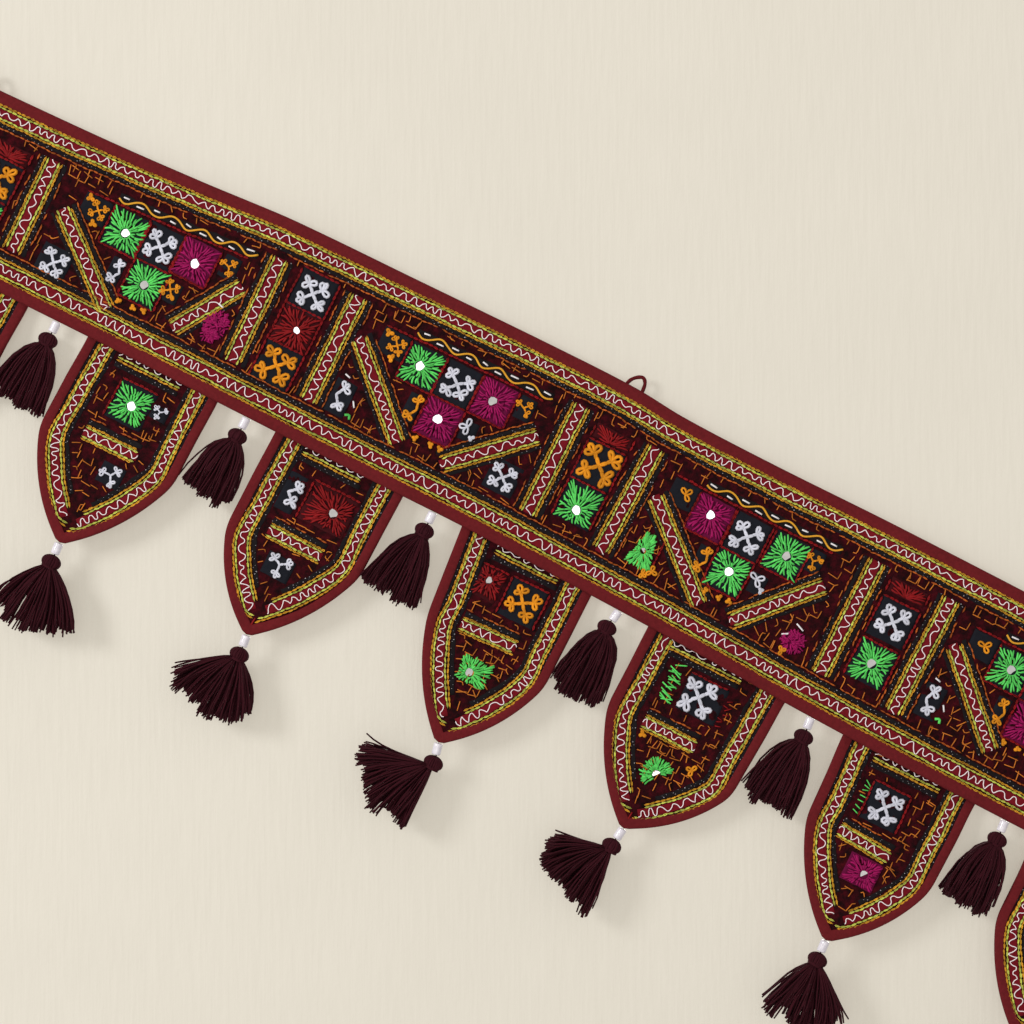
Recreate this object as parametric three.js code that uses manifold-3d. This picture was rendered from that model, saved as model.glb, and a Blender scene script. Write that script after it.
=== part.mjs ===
// A toran: an embroidered band hung over a doorway, with seven pointed petals along
// its lower edge, yarn tassels on beads between and under the petals, and three
// hanging loops along its top. Millimetres, +Z up. The band runs along X and its
// embroidered front faces -Y. The origin is at the middle of the band's top edge.
import * as THREE from "three";
import { mergeVertices } from "three/addons/utils/BufferGeometryUtils.js";
import Module from "manifold-3d";

const wasm = await Module();
wasm.setup();

// Cloth and tape
const CLOTH = 2.0; // velvet with its patches, ribbons and stitching
const TAPE = 0.9; // binding cloth, folded over an edge
const SEAM_GAP = 0.3; // between two pieces sewn together
const BINDING_WIDTH = 8.4;
const TAPE_OUTSIDE = CLOTH / 2 + SEAM_GAP + TAPE; // from the mid-plane to the binding's face
const EDGE_SETBACK = TAPE + SEAM_GAP; // the cloth's edge lies this far inside the binding's

// Band
const BAND_LEFT = -503;
const BAND_RIGHT = 499;
const BAND_COLUMNS = 42;
const BAND_ROWS = 6;
// [x, z] along the band's two edges, a little uneven as handwork is
const TOP_EDGE = [
  [-503, -17], [-396, -13], [-328, -9], [-258, -4], [-165, -2], [-60, 0], [0, 0],
  [40, -3], [107, -3.8], [203, -3], [350, -4], [499, -7],
];
const BOTTOM_EDGE = [
  [-503, -139.5], [-330, -138], [-140, -137.8], [-60, -137.4], [10, -139],
  [80, -140.6], [153, -143.3], [188, -144.8], [281, -147], [499, -149],
];
// The band's soft waves: amplitude, wavelength, where the wave starts, share at the top
const WAVES = [
  { height: 2.2, length: 390, start: -40, atTop: 0.35 },
  { height: 1.3, length: 170, start: 120, atTop: 0 },
];
const PUCKER = { x: -262, width: 16, depth: 1.6 }; // a small bend in the heading

// Petals: x of both top corners, the two shoulders, the tip, how far the tip stands
// forward, and how far the sides curl back
const PETAL_COLUMNS = ["left", "right", "leftX", "leftZ", "rightX", "rightZ", "tipX", "tipZ", "lift", "curl"];
const PETALS = [
  [-493, -394, -494, -207, -394, -207, -444, -271, 5, 2],
  [-349, -249, -349, -206, -249, -202, -300, -271, 7, -2],
  [-205, -107, -205, -210, -108, -200, -159, -269, 6, 2.5],
  [-63, 38, -56, -201, 37.5, -210, -10, -275, 8, -2.5],
  [82, 189, 81, -201, 184, -218, 128, -270, 7, 2],
  [233, 336, 235, -207, 333, -214, 284, -275, 9, -1.5],
  [382, 484, 382, -210, 482, -210, 432, -277, 6, 2],
].map((row) => Object.fromEntries(row.map((value, k) => [PETAL_COLUMNS[k], value])));
const PETAL_TUCK = 6; // hidden behind the band's lower binding
const PETAL_BEHIND = 2 * TAPE_OUTSIDE + 0.7; // from the band's mid-plane to the petal's
const PETAL_RETURN = 5; // how far the petal comes forward again once clear of the band
const RETURN_SHARE = 0.25; // of the petal's height, over which it does so
const PETAL_BULGE = 6; // of the curved sides below the shoulders
const BULGE_DIRECTION = { across: 0.78, down: 0.62 };
const PETAL_STRAIGHT_STEPS = 3;
const PETAL_CURVED_STEPS = 5;
const PETAL_CELLS = 4; // of its cloth, from side to side
const TIP_WIDTH = 7.6; // of the blunt point
const TIP_MIN_WIDTH = 1.6; // of the same point on the binding's inner line
const TIP_RISE = 1.2; // from the very tip to the ends of the blunt point
const TIP_MITRE = 1.55; // an inner line's set-back at the point, for each mm at the sides

// Tassels: where each hangs, its head, how far the skirt spreads either way in degrees,
// its length, and how soon its yarns turn down, from 0, straight, to 1, at once
const TASSELS = [
  { name: "tassel_tip_1", hangX: -444, headX: -444, left: 38, right: 33, length: 46, droop: 0.3 },
  { name: "tassel_tip_2", hangX: -300, headX: -299, left: 30, right: 44, length: 47, droop: 0.35 },
  { name: "tassel_tip_3", hangX: -158.5, headX: -157, left: 50, right: 38, length: 46, droop: 0.25 },
  { name: "tassel_tip_4", hangX: -9.5, headX: -6.5, left: 80, right: 3, length: 48, droop: 0.3 },
  { name: "tassel_tip_5", hangX: 128, headX: 126.5, left: 76, right: 9, length: 45, droop: 0.3 },
  { name: "tassel_tip_6", hangX: 284, headX: 285, left: 26, right: 46, length: 47, droop: 0.3 },
  { name: "tassel_tip_7", hangX: 432, headX: 431, left: 40, right: 30, length: 46, droop: 0.3 },
  { name: "tassel_gap_1", hangX: -371, headX: -371, left: 22, right: 20, length: 50, droop: 0.8 },
  { name: "tassel_gap_2", hangX: -226, headX: -226, left: 23, right: 19, length: 46, droop: 0.85 },
  { name: "tassel_gap_3", hangX: -84, headX: -83.5, left: 25, right: 19, length: 50, droop: 0.6 },
  { name: "tassel_gap_4", hangX: 59, headX: 57, left: 19, right: 20, length: 52, droop: 0.95 },
  { name: "tassel_gap_5", hangX: 208, headX: 209.5, left: 22, right: 18, length: 53, droop: 0.8 },
  { name: "tassel_gap_6", hangX: 358, headX: 359, left: 20, right: 21, length: 50, droop: 0.8 },
];
const LOCKS = 12; // in each skirt, in a front and a back layer
const LOCK_RADIUS = 2.2;
const LOCK_STEPS = 3;
const SKIRT_DEPTH = 4.4; // of each layer, in front of and behind the skirt's middle
const UNEVEN = { share: 0.05, turn: 2.4 }; // how much the locks' lengths differ, and how fast
const STRAIGHT_TURN = { across: 0.5, down: 0.5 }; // where a straight lock's curve turns
const DROOPED_TURN = { across: 0.95, down: 0.12 }; // and a lock's that falls at once
const HEAD = { width: 6.5, depth: 5.2, height: 5 }; // half sizes
const NECK_DROP = 2.5; // the yarns leave the head this far under its middle
const THREAD_RADIUS = 0.55;

// Beads
const BEAD_RADIUS = 3.1;
const BEAD_HOLE = 1.2;
const BEAD_LENGTH = 8;
const BEAD_CHAMFER = 0.8;
const BEAD_SIDES = 8;
const HEAD_DROP = BEAD_LENGTH + HEAD.height + 3 * SEAM_GAP; // from an edge to a head's middle

// Hanging loops: a thin tube of binding cloth, bowed up behind the heading
const LOOPS = [
  { name: "hanging_loop_left", x: -486, lean: -1 },
  { name: "hanging_loop_middle", x: 0, lean: 1 },
  { name: "hanging_loop_right", x: 482, lean: 1 },
];
// [x, z] of the loop's middle line, from its left root to its right one
const LOOP_LINE = [
  [-6.6, -7], [-6.2, 0.5], [-3.6, 5.6], [1.5, 8.7], [4.6, 6], [5.6, 0.5], [5.8, -7],
];
const LOOP_RADIUS = 1.3;
const LOOP_SIDES = 6;
const LOOP_STEPS = 14;

const COLOURS = {
  velvet: { color: 0x3d1018, roughness: 0.95 },
  binding: { color: 0x601a21, roughness: 0.85 },
  yarn: { color: 0x340e18, roughness: 0.95 },
  bead: { color: 0xe1dee8, roughness: 0.25 },
};

const toran = new THREE.Group();

function addMesh(name, geometry, colour) {
  const material = new THREE.MeshStandardMaterial({ ...COLOURS[colour], metalness: 0 });
  const mesh = new THREE.Mesh(geometry, material);
  mesh.name = name;
  toran.add(mesh);
}

function smooth(value) {
  const s = THREE.MathUtils.clamp(value, 0, 1);
  return s * s * (3 - 2 * s);
}

// Height of an edge at x, on a smooth curve through its table of [x, z]
function edgeHeight(table, x) {
  let k = 0;
  while (k < table.length - 2 && x > table[k + 1][0]) k += 1;
  const slope = (a, b) => (table[b][1] - table[a][1]) / (table[b][0] - table[a][0]);
  const [x0, z0] = table[k];
  const [x1, z1] = table[k + 1];
  const slope0 = k > 0 ? slope(k - 1, k + 1) : slope(0, 1);
  const slope1 = k < table.length - 2 ? slope(k, k + 2) : slope(k, k + 1);
  const s = (x - x0) / (x1 - x0);
  const span = x1 - x0;
  const start = (1 + 2 * s) * (1 - s) ** 2 * z0 + s * (1 - s) ** 2 * span * slope0;
  return start + s * s * (3 - 2 * s) * z1 + s * s * (s - 1) * span * slope1;
}

// The band's mid-plane: how far behind the plane y = 0 it lies
function bandDepth(x, z) {
  const top = edgeHeight(TOP_EDGE, x);
  const down = (top - z) / (top - edgeHeight(BOTTOM_EDGE, x));
  let depth = 0;
  for (const wave of WAVES) {
    const share = wave.atTop + (1 - wave.atTop) * down;
    depth += wave.height * share * Math.sin((2 * Math.PI * (x - wave.start)) / wave.length);
  }
  const fromPucker = (x - PUCKER.x) / PUCKER.width;
  return depth - PUCKER.depth * (1 - down) * Math.exp(-fromPucker * fromPucker);
}

// A petal's mid-plane: behind the band where it is sewn on, then coming forward to its tip
function petalDepth(petal, x, z) {
  const edge = edgeHeight(BOTTOM_EDGE, x);
  const down = (edge - z) / (edge - petal.tipZ);
  const across = (x - petal.tipX) / (petal.right - petal.left);
  const forward = PETAL_RETURN * smooth(down / RETURN_SHARE) + petal.lift * smooth(down);
  const sewn = bandDepth(x, Math.max(z, edge)) * (1 - smooth(down) / 2);
  return sewn + PETAL_BEHIND - forward + 4 * petal.curl * across * across * smooth(down);
}

// Merges a geometry's vertices and moves each to where place puts it
function bend(geometry, place) {
  geometry.deleteAttribute("normal");
  geometry.deleteAttribute("uv");
  const merged = mergeVertices(geometry, 1e-5);
  const position = merged.getAttribute("position");
  const point = new THREE.Vector3();
  for (let i = 0; i < position.count; i += 1) {
    point.fromBufferAttribute(position, i);
    const moved = place(point);
    position.setXYZ(i, moved.x, moved.y, moved.z);
  }
  return merged;
}

// A sheet of cloth: place gets how far across and down a point lies, 0 to 1, and its y
function sheet(columns, rows, place) {
  const box = new THREE.BoxGeometry(1, CLOTH, 1, columns, 1, rows);
  return bend(box, (point) => place(point.x + 0.5, 0.5 - point.z, point.y));
}

// A binding folded over an edge: a U section run along the edge's outer line, its open
// side towards the matching points of the inner line
function binding(outer, inner, depthAt) {
  const inside = CLOTH / 2 + SEAM_GAP;
  const corners = [
    [1, -TAPE_OUTSIDE], [0, -TAPE_OUTSIDE], [0, TAPE_OUTSIDE], [1, TAPE_OUTSIDE],
    [1, inside], [TAPE / BINDING_WIDTH, inside], [TAPE / BINDING_WIDTH, -inside], [1, -inside],
  ];
  const section = new THREE.Shape(corners.map(([x, y]) => new THREE.Vector2(x, y)));
  const steps = outer.length - 1;
  const strip = new THREE.ExtrudeGeometry(section, { depth: 1, steps, bevelEnabled: false });
  return bend(strip, (point) => {
    const station = Math.round(point.z * steps);
    const at = outer[station].clone().lerp(inner[station], point.x);
    return new THREE.Vector3(at.x, depthAt(at.x, at.y) + point.y, at.y);
  });
}

// The band's own grid: x across, share of the height down, inset from both edges
function bandPoint(x, down, inset = 0) {
  const top = edgeHeight(TOP_EDGE, x) - inset;
  const bottom = edgeHeight(BOTTOM_EDGE, x) + inset;
  return new THREE.Vector2(x, THREE.MathUtils.lerp(top, bottom, down));
}

function addBand() {
  const left = BAND_LEFT + EDGE_SETBACK;
  const right = BAND_RIGHT - EDGE_SETBACK;
  const cloth = sheet(BAND_COLUMNS, BAND_ROWS, (across, down, y) => {
    const at = bandPoint(THREE.MathUtils.lerp(left, right, across), down, EDGE_SETBACK);
    return new THREE.Vector3(at.x, bandDepth(at.x, at.y) + y, at.y);
  });
  addMesh("band_cloth", cloth, "velvet");
}

// A long tape along the top and the bottom edge, and a short one over each end
function addBandBindings() {
  const xs = [];
  for (let i = 0; i <= BAND_COLUMNS; i += 1) {
    xs.push(THREE.MathUtils.lerp(BAND_LEFT, BAND_RIGHT, i / BAND_COLUMNS));
  }
  const topLine = xs.map((x) => bandPoint(x, 0));
  const underTop = xs.map((x) => bandPoint(x, 0, BINDING_WIDTH));
  addMesh("binding_top", binding(topLine, underTop, bandDepth), "binding");
  xs.reverse();
  const bottomLine = xs.map((x) => bandPoint(x, 1));
  const overBottom = xs.map((x) => bandPoint(x, 1, BINDING_WIDTH));
  addMesh("binding_bottom", binding(bottomLine, overBottom, bandDepth), "binding");
  const between = BINDING_WIDTH + SEAM_GAP;
  const downs = [1, 0.75, 0.5, 0.25, 0];
  const endLine = (x) => downs.map((down) => bandPoint(x, down, between));
  const leftEnd = binding(endLine(BAND_LEFT), endLine(BAND_LEFT + BINDING_WIDTH), bandDepth);
  addMesh("binding_end_left", leftEnd, "binding");
  const rightLine = endLine(BAND_RIGHT).reverse();
  const rightInner = endLine(BAND_RIGHT - BINDING_WIDTH).reverse();
  addMesh("binding_end_right", binding(rightLine, rightInner, bandDepth), "binding");
}

// One side of a petal's outline from the band to the point, drawn in by inset
function petalSide(petal, side, inset) {
  const sign = side === "left" ? 1 : -1;
  const topX = petal[side] + sign * inset;
  const shoulder = new THREE.Vector2(petal[`${side}X`] + sign * inset, petal[`${side}Z`]);
  const top = new THREE.Vector2(topX, edgeHeight(BOTTOM_EDGE, topX) + PETAL_TUCK);
  const blunt = THREE.MathUtils.lerp(TIP_WIDTH, TIP_MIN_WIDTH, inset / BINDING_WIDTH) / 2;
  const endZ = petal.tipZ + TIP_RISE + inset * TIP_MITRE;
  const end = new THREE.Vector2(petal.tipX - sign * blunt, endZ);
  const outward = new THREE.Vector2(-sign * BULGE_DIRECTION.across, -BULGE_DIRECTION.down);
  const middle = shoulder.clone().lerp(end, 0.5).addScaledVector(outward, 2 * PETAL_BULGE);
  const free = top.clone().lerp(shoulder, (PETAL_TUCK + 1) / (top.y - shoulder.y));
  const points = [top];
  for (let i = 0; i < PETAL_STRAIGHT_STEPS; i += 1) {
    points.push(free.clone().lerp(shoulder, i / PETAL_STRAIGHT_STEPS));
  }
  const curve = new THREE.QuadraticBezierCurve(shoulder, middle, end);
  return points.concat(curve.getPoints(PETAL_CURVED_STEPS));
}

function addPetal(petal, number) {
  const depthAt = (x, z) => petalDepth(petal, x, z);
  const left = petalSide(petal, "left", EDGE_SETBACK);
  const right = petalSide(petal, "right", EDGE_SETBACK);
  const rows = left.length - 1;
  const cloth = sheet(PETAL_CELLS, rows, (across, down, y) => {
    const row = Math.round(down * rows);
    const at = left[row].clone().lerp(right[row], across);
    return new THREE.Vector3(at.x, depthAt(at.x, at.y) + y, at.y);
  });
  addMesh(`petal_cloth_${number}`, cloth, "velvet");

  const outline = (inset) => {
    const tip = new THREE.Vector2(petal.tipX, petal.tipZ + inset * TIP_MITRE);
    const up = petalSide(petal, "left", inset).reverse();
    return [...petalSide(petal, "right", inset), tip, ...up];
  };
  const edging = binding(outline(0), outline(BINDING_WIDTH), depthAt);
  addMesh(`petal_binding_${number}`, edging, "binding");
}

function toManifold(geometry) {
  const merged = geometry.getAttribute("normal") ? bend(geometry, (point) => point) : geometry;
  return new wasm.Manifold(new wasm.Mesh({
    numProp: 3,
    vertProperties: new Float32Array(merged.getAttribute("position").array),
    triVerts: new Uint32Array(merged.index.array),
  }));
}

function fromManifold(solid) {
  const mesh = solid.getMesh();
  const geometry = new THREE.BufferGeometry();
  geometry.setAttribute("position", new THREE.BufferAttribute(mesh.vertProperties, 3));
  geometry.setIndex(new THREE.BufferAttribute(mesh.triVerts, 1));
  return geometry;
}

function roundSection(radius, sides) {
  const points = [];
  for (let i = 0; i < sides; i += 1) {
    const angle = (2 * Math.PI * i) / sides;
    points.push(new THREE.Vector2(radius * Math.cos(angle), radius * Math.sin(angle)));
  }
  return new THREE.Shape(points);
}

// A tassel: a bound head, a skirt of locks that fuse in it, and the thread it hangs by
function tassel(spec, head, hang) {
  const knob = new THREE.SphereGeometry(1, 8, 6);
  let solid = toManifold(bend(knob, (point) => new THREE.Vector3(
    head.x + point.x * HEAD.width, head.y + point.y * HEAD.depth, head.z + point.z * HEAD.height,
  )));
  const root = new THREE.Vector3(head.x, head.y, head.z - NECK_DROP);
  for (let i = 0; i < LOCKS; i += 1) {
    const spread = THREE.MathUtils.lerp(-spec.left, spec.right, i / (LOCKS - 1));
    const angle = THREE.MathUtils.degToRad(spread);
    const length = spec.length * (1 + UNEVEN.share * Math.sin(UNEVEN.turn * i + head.x));
    const layer = i % 2 === 0 ? -SKIRT_DEPTH : SKIRT_DEPTH;
    const end = new THREE.Vector3(Math.sin(angle) * length, layer, -Math.cos(angle) * length);
    const turn = new THREE.Vector3(
      end.x * THREE.MathUtils.lerp(STRAIGHT_TURN.across, DROOPED_TURN.across, spec.droop),
      layer,
      end.z * THREE.MathUtils.lerp(STRAIGHT_TURN.down, DROOPED_TURN.down, spec.droop),
    );
    const path = new THREE.QuadraticBezierCurve3(root, root.clone().add(turn), root.clone().add(end));
    const lock = new THREE.ExtrudeGeometry(roundSection(LOCK_RADIUS, 3), {
      steps: LOCK_STEPS, extrudePath: path, bevelEnabled: false,
    });
    solid = solid.add(toManifold(lock));
  }
  const thread = new THREE.ExtrudeGeometry(roundSection(THREAD_RADIUS, 4), {
    steps: 1, extrudePath: new THREE.LineCurve3(head, hang), bevelEnabled: false,
  });
  return fromManifold(solid.add(toManifold(thread)));
}

// A short tube bead whose middle line runs from one point towards another
function bead(centre, along) {
  const half = BEAD_LENGTH / 2;
  const profile = [
    [BEAD_HOLE, -half], [BEAD_RADIUS - BEAD_CHAMFER, -half], [BEAD_RADIUS, BEAD_CHAMFER - half],
    [BEAD_RADIUS, half - BEAD_CHAMFER], [BEAD_RADIUS - BEAD_CHAMFER, half], [BEAD_HOLE, half],
    [BEAD_HOLE, -half],
  ];
  const ring = new THREE.LatheGeometry(profile.map(([x, y]) => new THREE.Vector2(x, y)), BEAD_SIDES);
  const turn = new THREE.Quaternion().setFromUnitVectors(new THREE.Vector3(0, 1, 0), along);
  return bend(ring, (point) => point.clone().applyQuaternion(turn).add(centre));
}

function addTassel(spec) {
  const nearest = PETALS.find((petal) => Math.abs(petal.tipX - spec.hangX) < TIP_WIDTH);
  const edgeZ = nearest ? nearest.tipZ : edgeHeight(BOTTOM_EDGE, spec.hangX);
  const depth = nearest ? petalDepth(nearest, spec.hangX, edgeZ) : bandDepth(spec.hangX, edgeZ);
  const hang = new THREE.Vector3(spec.hangX, depth, edgeZ - 1.5 * SEAM_GAP);
  const along = new THREE.Vector3(spec.hangX - spec.headX, 0, HEAD_DROP).normalize();
  const head = hang.clone().addScaledVector(along, -HEAD_DROP);
  const centre = hang.clone().addScaledVector(along, -BEAD_LENGTH / 2);
  addMesh(spec.name, tassel(spec, head, hang), "yarn");
  addMesh(spec.name.replace("tassel", "bead"), bead(centre, along), "bead");
}

function addLoop(loop) {
  const edge = edgeHeight(TOP_EDGE, loop.x);
  const depth = bandDepth(loop.x, edge) + TAPE_OUTSIDE + SEAM_GAP + LOOP_RADIUS;
  const line = LOOP_LINE.map(([x, z]) => new THREE.Vector3(loop.x + x * loop.lean, depth, edge + z));
  const tube = new THREE.ExtrudeGeometry(roundSection(LOOP_RADIUS, LOOP_SIDES), {
    steps: LOOP_STEPS, extrudePath: new THREE.CatmullRomCurve3(line), bevelEnabled: false,
  });
  addMesh(loop.name, bend(tube, (point) => point), "binding");
}

addBand();
addBandBindings();
PETALS.forEach((petal, index) => addPetal(petal, index + 1));
TASSELS.forEach(addTassel);
LOOPS.forEach(addLoop);

export default toran;
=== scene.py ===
"""A toran door hanging: velvet band and petals with mirror work, chain stitch, bindings, beads and tassels."""
import math

import bpy
import numpy as np
from mathutils import Matrix, Vector


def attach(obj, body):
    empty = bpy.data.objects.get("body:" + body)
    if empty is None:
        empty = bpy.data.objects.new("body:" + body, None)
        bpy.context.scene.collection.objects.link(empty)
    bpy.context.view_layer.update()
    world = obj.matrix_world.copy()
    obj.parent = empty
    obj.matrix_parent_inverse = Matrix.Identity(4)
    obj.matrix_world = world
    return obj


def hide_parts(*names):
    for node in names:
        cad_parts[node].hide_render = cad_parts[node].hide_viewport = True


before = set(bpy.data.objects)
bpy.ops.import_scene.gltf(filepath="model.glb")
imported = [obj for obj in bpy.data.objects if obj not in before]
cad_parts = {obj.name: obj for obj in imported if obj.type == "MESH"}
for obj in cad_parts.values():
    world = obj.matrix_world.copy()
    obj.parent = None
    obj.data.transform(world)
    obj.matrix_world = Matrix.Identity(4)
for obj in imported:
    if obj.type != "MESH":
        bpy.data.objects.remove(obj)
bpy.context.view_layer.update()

# Every table below is in millimetres, x along the band and z up, as in the part's source.
MM = 0.001
CLOTH = 2.0
TAPE = 0.9
SEAM_GAP = 0.3
BINDING_WIDTH = 8.4
TAPE_OUTSIDE = CLOTH / 2 + SEAM_GAP + TAPE
EDGE_SETBACK = TAPE + SEAM_GAP
BAND_LEFT, BAND_RIGHT = -503.0, 499.0
TOP_EDGE = np.array([
    [-503, -17], [-396, -13], [-328, -9], [-258, -4], [-165, -2], [-60, 0], [0, 0],
    [40, -3], [107, -3.8], [203, -3], [350, -4], [499, -7],
], float)
BOTTOM_EDGE = np.array([
    [-503, -139.5], [-330, -138], [-140, -137.8], [-60, -137.4], [10, -139],
    [80, -140.6], [153, -143.3], [188, -144.8], [281, -147], [499, -149],
], float)
WAVES = [(2.2, 390, -40, 0.35), (1.3, 170, 120, 0)]  # height, length, start, share at the top
PUCKER_X, PUCKER_WIDTH, PUCKER_DEPTH = -262, 16, 1.6
PETAL_COLUMNS = ("left", "right", "left_x", "left_z", "right_x", "right_z", "tip_x", "tip_z", "lift", "curl")
PETALS = [dict(zip(PETAL_COLUMNS, row)) for row in (
    (-493, -394, -494, -207, -394, -207, -444, -271, 5, 2),
    (-349, -249, -349, -206, -249, -202, -300, -271, 7, -2),
    (-205, -107, -205, -210, -108, -200, -159, -269, 6, 2.5),
    (-63, 38, -56, -201, 37.5, -210, -10, -275, 8, -2.5),
    (82, 189, 81, -201, 184, -218, 128, -270, 7, 2),
    (233, 336, 235, -207, 333, -214, 284, -275, 9, -1.5),
    (382, 484, 382, -210, 482, -210, 432, -277, 6, 2),
)]
PETAL_TUCK = 6.0
PETAL_BEHIND = 2 * TAPE_OUTSIDE + 0.7
PETAL_RETURN, RETURN_SHARE = 5.0, 0.25
PETAL_BULGE = 6.0
TIP_WIDTH, TIP_MIN_WIDTH, TIP_RISE, TIP_MITRE = 7.6, 1.6, 1.2, 1.12
TASSEL_COLUMNS = ("name", "hang_x", "head_x", "left", "right", "length", "droop")
TASSELS = [dict(zip(TASSEL_COLUMNS, row)) for row in (
    ("tip_1", -444, -444, 38, 33, 46, 0.3),
    ("tip_2", -300, -299, 30, 44, 47, 0.35),
    ("tip_3", -158.5, -157, 50, 38, 46, 0.25),
    ("tip_4", -9.5, -6.5, 80, 3, 48, 0.3),
    ("tip_5", 128, 126.5, 76, 9, 45, 0.3),
    ("tip_6", 284, 285, 26, 46, 47, 0.3),
    ("tip_7", 432, 431, 40, 30, 46, 0.3),
    ("gap_1", -371, -371, 22, 20, 50, 0.8),
    ("gap_2", -226, -226, 23, 19, 46, 0.85),
    ("gap_3", -84, -83.5, 25, 19, 50, 0.6),
    ("gap_4", 59, 57, 19, 20, 52, 0.95),
    ("gap_5", 208, 209.5, 22, 18, 53, 0.8),
    ("gap_6", 358, 359, 20, 21, 50, 0.8),
)]
HEAD_WIDTH, HEAD_DEPTH, HEAD_HEIGHT = 6.5, 5.2, 5.0
NECK_DROP = 2.5
SKIRT_DEPTH = 4.4
BEAD_RADIUS, BEAD_HOLE, BEAD_LENGTH = 3.1, 1.2, 8.0
HEAD_DROP = BEAD_LENGTH + HEAD_HEIGHT + 3 * SEAM_GAP
LOOPS = [("left", -486, -1), ("middle", 0, 1), ("right", 482, 1)]
LOOP_LINE = [(-6.6, -7), (-6.2, 0.5), (-3.6, 5.6), (1.5, 8.7), (4.6, 6), (5.6, 0.5), (5.8, -7)]
LOOP_RADIUS = 1.3

rng = np.random.default_rng(271)


def smooth(value):
    s = np.clip(value, 0, 1)
    return s * s * (3 - 2 * s)


def lerp(a, b, s):
    return a + (b - a) * s


def edge_height(table, x):
    x = np.asarray(x, float)
    xs, zs = table[:, 0], table[:, 1]
    k = np.clip(np.searchsorted(xs, x, side="left") - 1, 0, len(xs) - 2)
    ends = (zs[2:] - zs[:-2]) / (xs[2:] - xs[:-2])
    slopes = np.concatenate([[(zs[1] - zs[0]) / (xs[1] - xs[0])], ends, [(zs[-1] - zs[-2]) / (xs[-1] - xs[-2])]])
    span = xs[k + 1] - xs[k]
    s = (x - xs[k]) / span
    start = (1 + 2 * s) * (1 - s) ** 2 * zs[k] + s * (1 - s) ** 2 * span * slopes[k]
    return start + s * s * (3 - 2 * s) * zs[k + 1] + s * s * (s - 1) * span * slopes[k + 1]


def band_depth(x, z):
    top = edge_height(TOP_EDGE, x)
    down = (top - z) / (top - edge_height(BOTTOM_EDGE, x))
    depth = 0
    for height, length, start, at_top in WAVES:
        depth = depth + height * (at_top + (1 - at_top) * down) * np.sin(2 * np.pi * (x - start) / length)
    return depth - PUCKER_DEPTH * (1 - down) * np.exp(-(((x - PUCKER_X) / PUCKER_WIDTH) ** 2))


def petal_depth(petal, x, z):
    edge = edge_height(BOTTOM_EDGE, x)
    down = (edge - z) / (edge - petal["tip_z"])
    across = (x - petal["tip_x"]) / (petal["right"] - petal["left"])
    forward = PETAL_RETURN * smooth(down / RETURN_SHARE) + petal["lift"] * smooth(down)
    sewn = band_depth(x, np.maximum(z, edge)) * (1 - smooth(down) / 2)
    return sewn + PETAL_BEHIND - forward + 4 * petal["curl"] * across**2 * smooth(down)


def bezier(a, b, c, s):
    s = np.asarray(s)[..., None]
    return (1 - s) ** 2 * a + 2 * s * (1 - s) * b + s * s * c


def eased(points, half):
    """The line with its corners rounded by a moving average, and its two ends kept."""
    padded = np.concatenate([2 * points[:1] - points[half:0:-1], points, 2 * points[-1:] - points[-2:-half - 2:-1]])
    kernel = np.ones(2 * half + 1) / (2 * half + 1)
    return np.stack([np.convolve(padded[:, k], kernel, "valid") for k in (0, 1)], 1)


def lengths_along(points):
    return np.concatenate([[0], np.cumsum(np.hypot(*np.diff(points, axis=0).T))])


def swell(sign, shoulder, end, bulge):
    """The middle point of a petal side's curve, which swells outward and down."""
    return (shoulder + end) / 2 + np.array([-sign * 0.78, -0.62]) * bulge


SHOULDER_EASE = 7.5


def petal_side(petal, side, inset, step=1.5):
    """One side's line from the top, hidden behind the band, to the blunt tip."""
    sign = 1 if side == "left" else -1
    top_x = petal[side] + sign * inset
    shoulder = np.array([petal[side + "_x"] + sign * inset, petal[side + "_z"]])
    top = np.array([top_x, float(edge_height(BOTTOM_EDGE, top_x)) + PETAL_TUCK])
    blunt = lerp(TIP_WIDTH, TIP_MIN_WIDTH, inset / BINDING_WIDTH) / 2
    end = np.array([petal["tip_x"] - sign * blunt, petal["tip_z"] + TIP_RISE + inset * TIP_MITRE])
    middle = swell(sign, shoulder, end, 2 * PETAL_BULGE)
    straight = max(4, int(round((top[1] - shoulder[1]) / step)))
    curved = max(6, int(round(np.hypot(*(shoulder - end)) / step)))
    first = lerp(top, shoulder, np.linspace(0, 1, straight, endpoint=False)[:, None])
    points = np.concatenate([first, bezier(shoulder, middle, end, np.linspace(0, 1, curved + 1))])
    return eased(points, int(SHOULDER_EASE / step))


CLOTH_WAVES, HILL = 7, 0.14


class Cloth:
    """The front of one piece of cloth: its middle depth, and the small hills that the stitching gives it."""

    def __init__(self, where, depth, inside):
        self.where, self.depth, self.inside = where, depth, inside
        turn = rng.uniform(0, np.pi, CLOTH_WAVES)
        length = rng.uniform(8, 34, CLOTH_WAVES)
        self.waves = [(2 * np.pi * np.cos(a) / l, 2 * np.pi * np.sin(a) / l, p, HILL * (l / 20) ** 0.4)
                      for a, l, p in zip(turn, length, rng.uniform(0, 2 * np.pi, CLOTH_WAVES))]

    def front(self, x, z, up=0.0):
        """The depth of a point that stands `up` mm off the cloth's front."""
        relief = sum(h * np.sin(a * x + b * z + p) for a, b, p, h in self.waves)
        relief = relief * smooth((self.inside(x, z) - 6) / 8)
        return self.depth(x, z) - CLOTH / 2 - relief - up

    def on(self, x, z, up=0.0):
        return np.stack([x, self.front(x, z, up), z], -1)

    def sewn(self, look):
        """The bucket for what is sewn on this cloth in one look."""
        return bucket(f"{self.where}_{look}")


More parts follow.
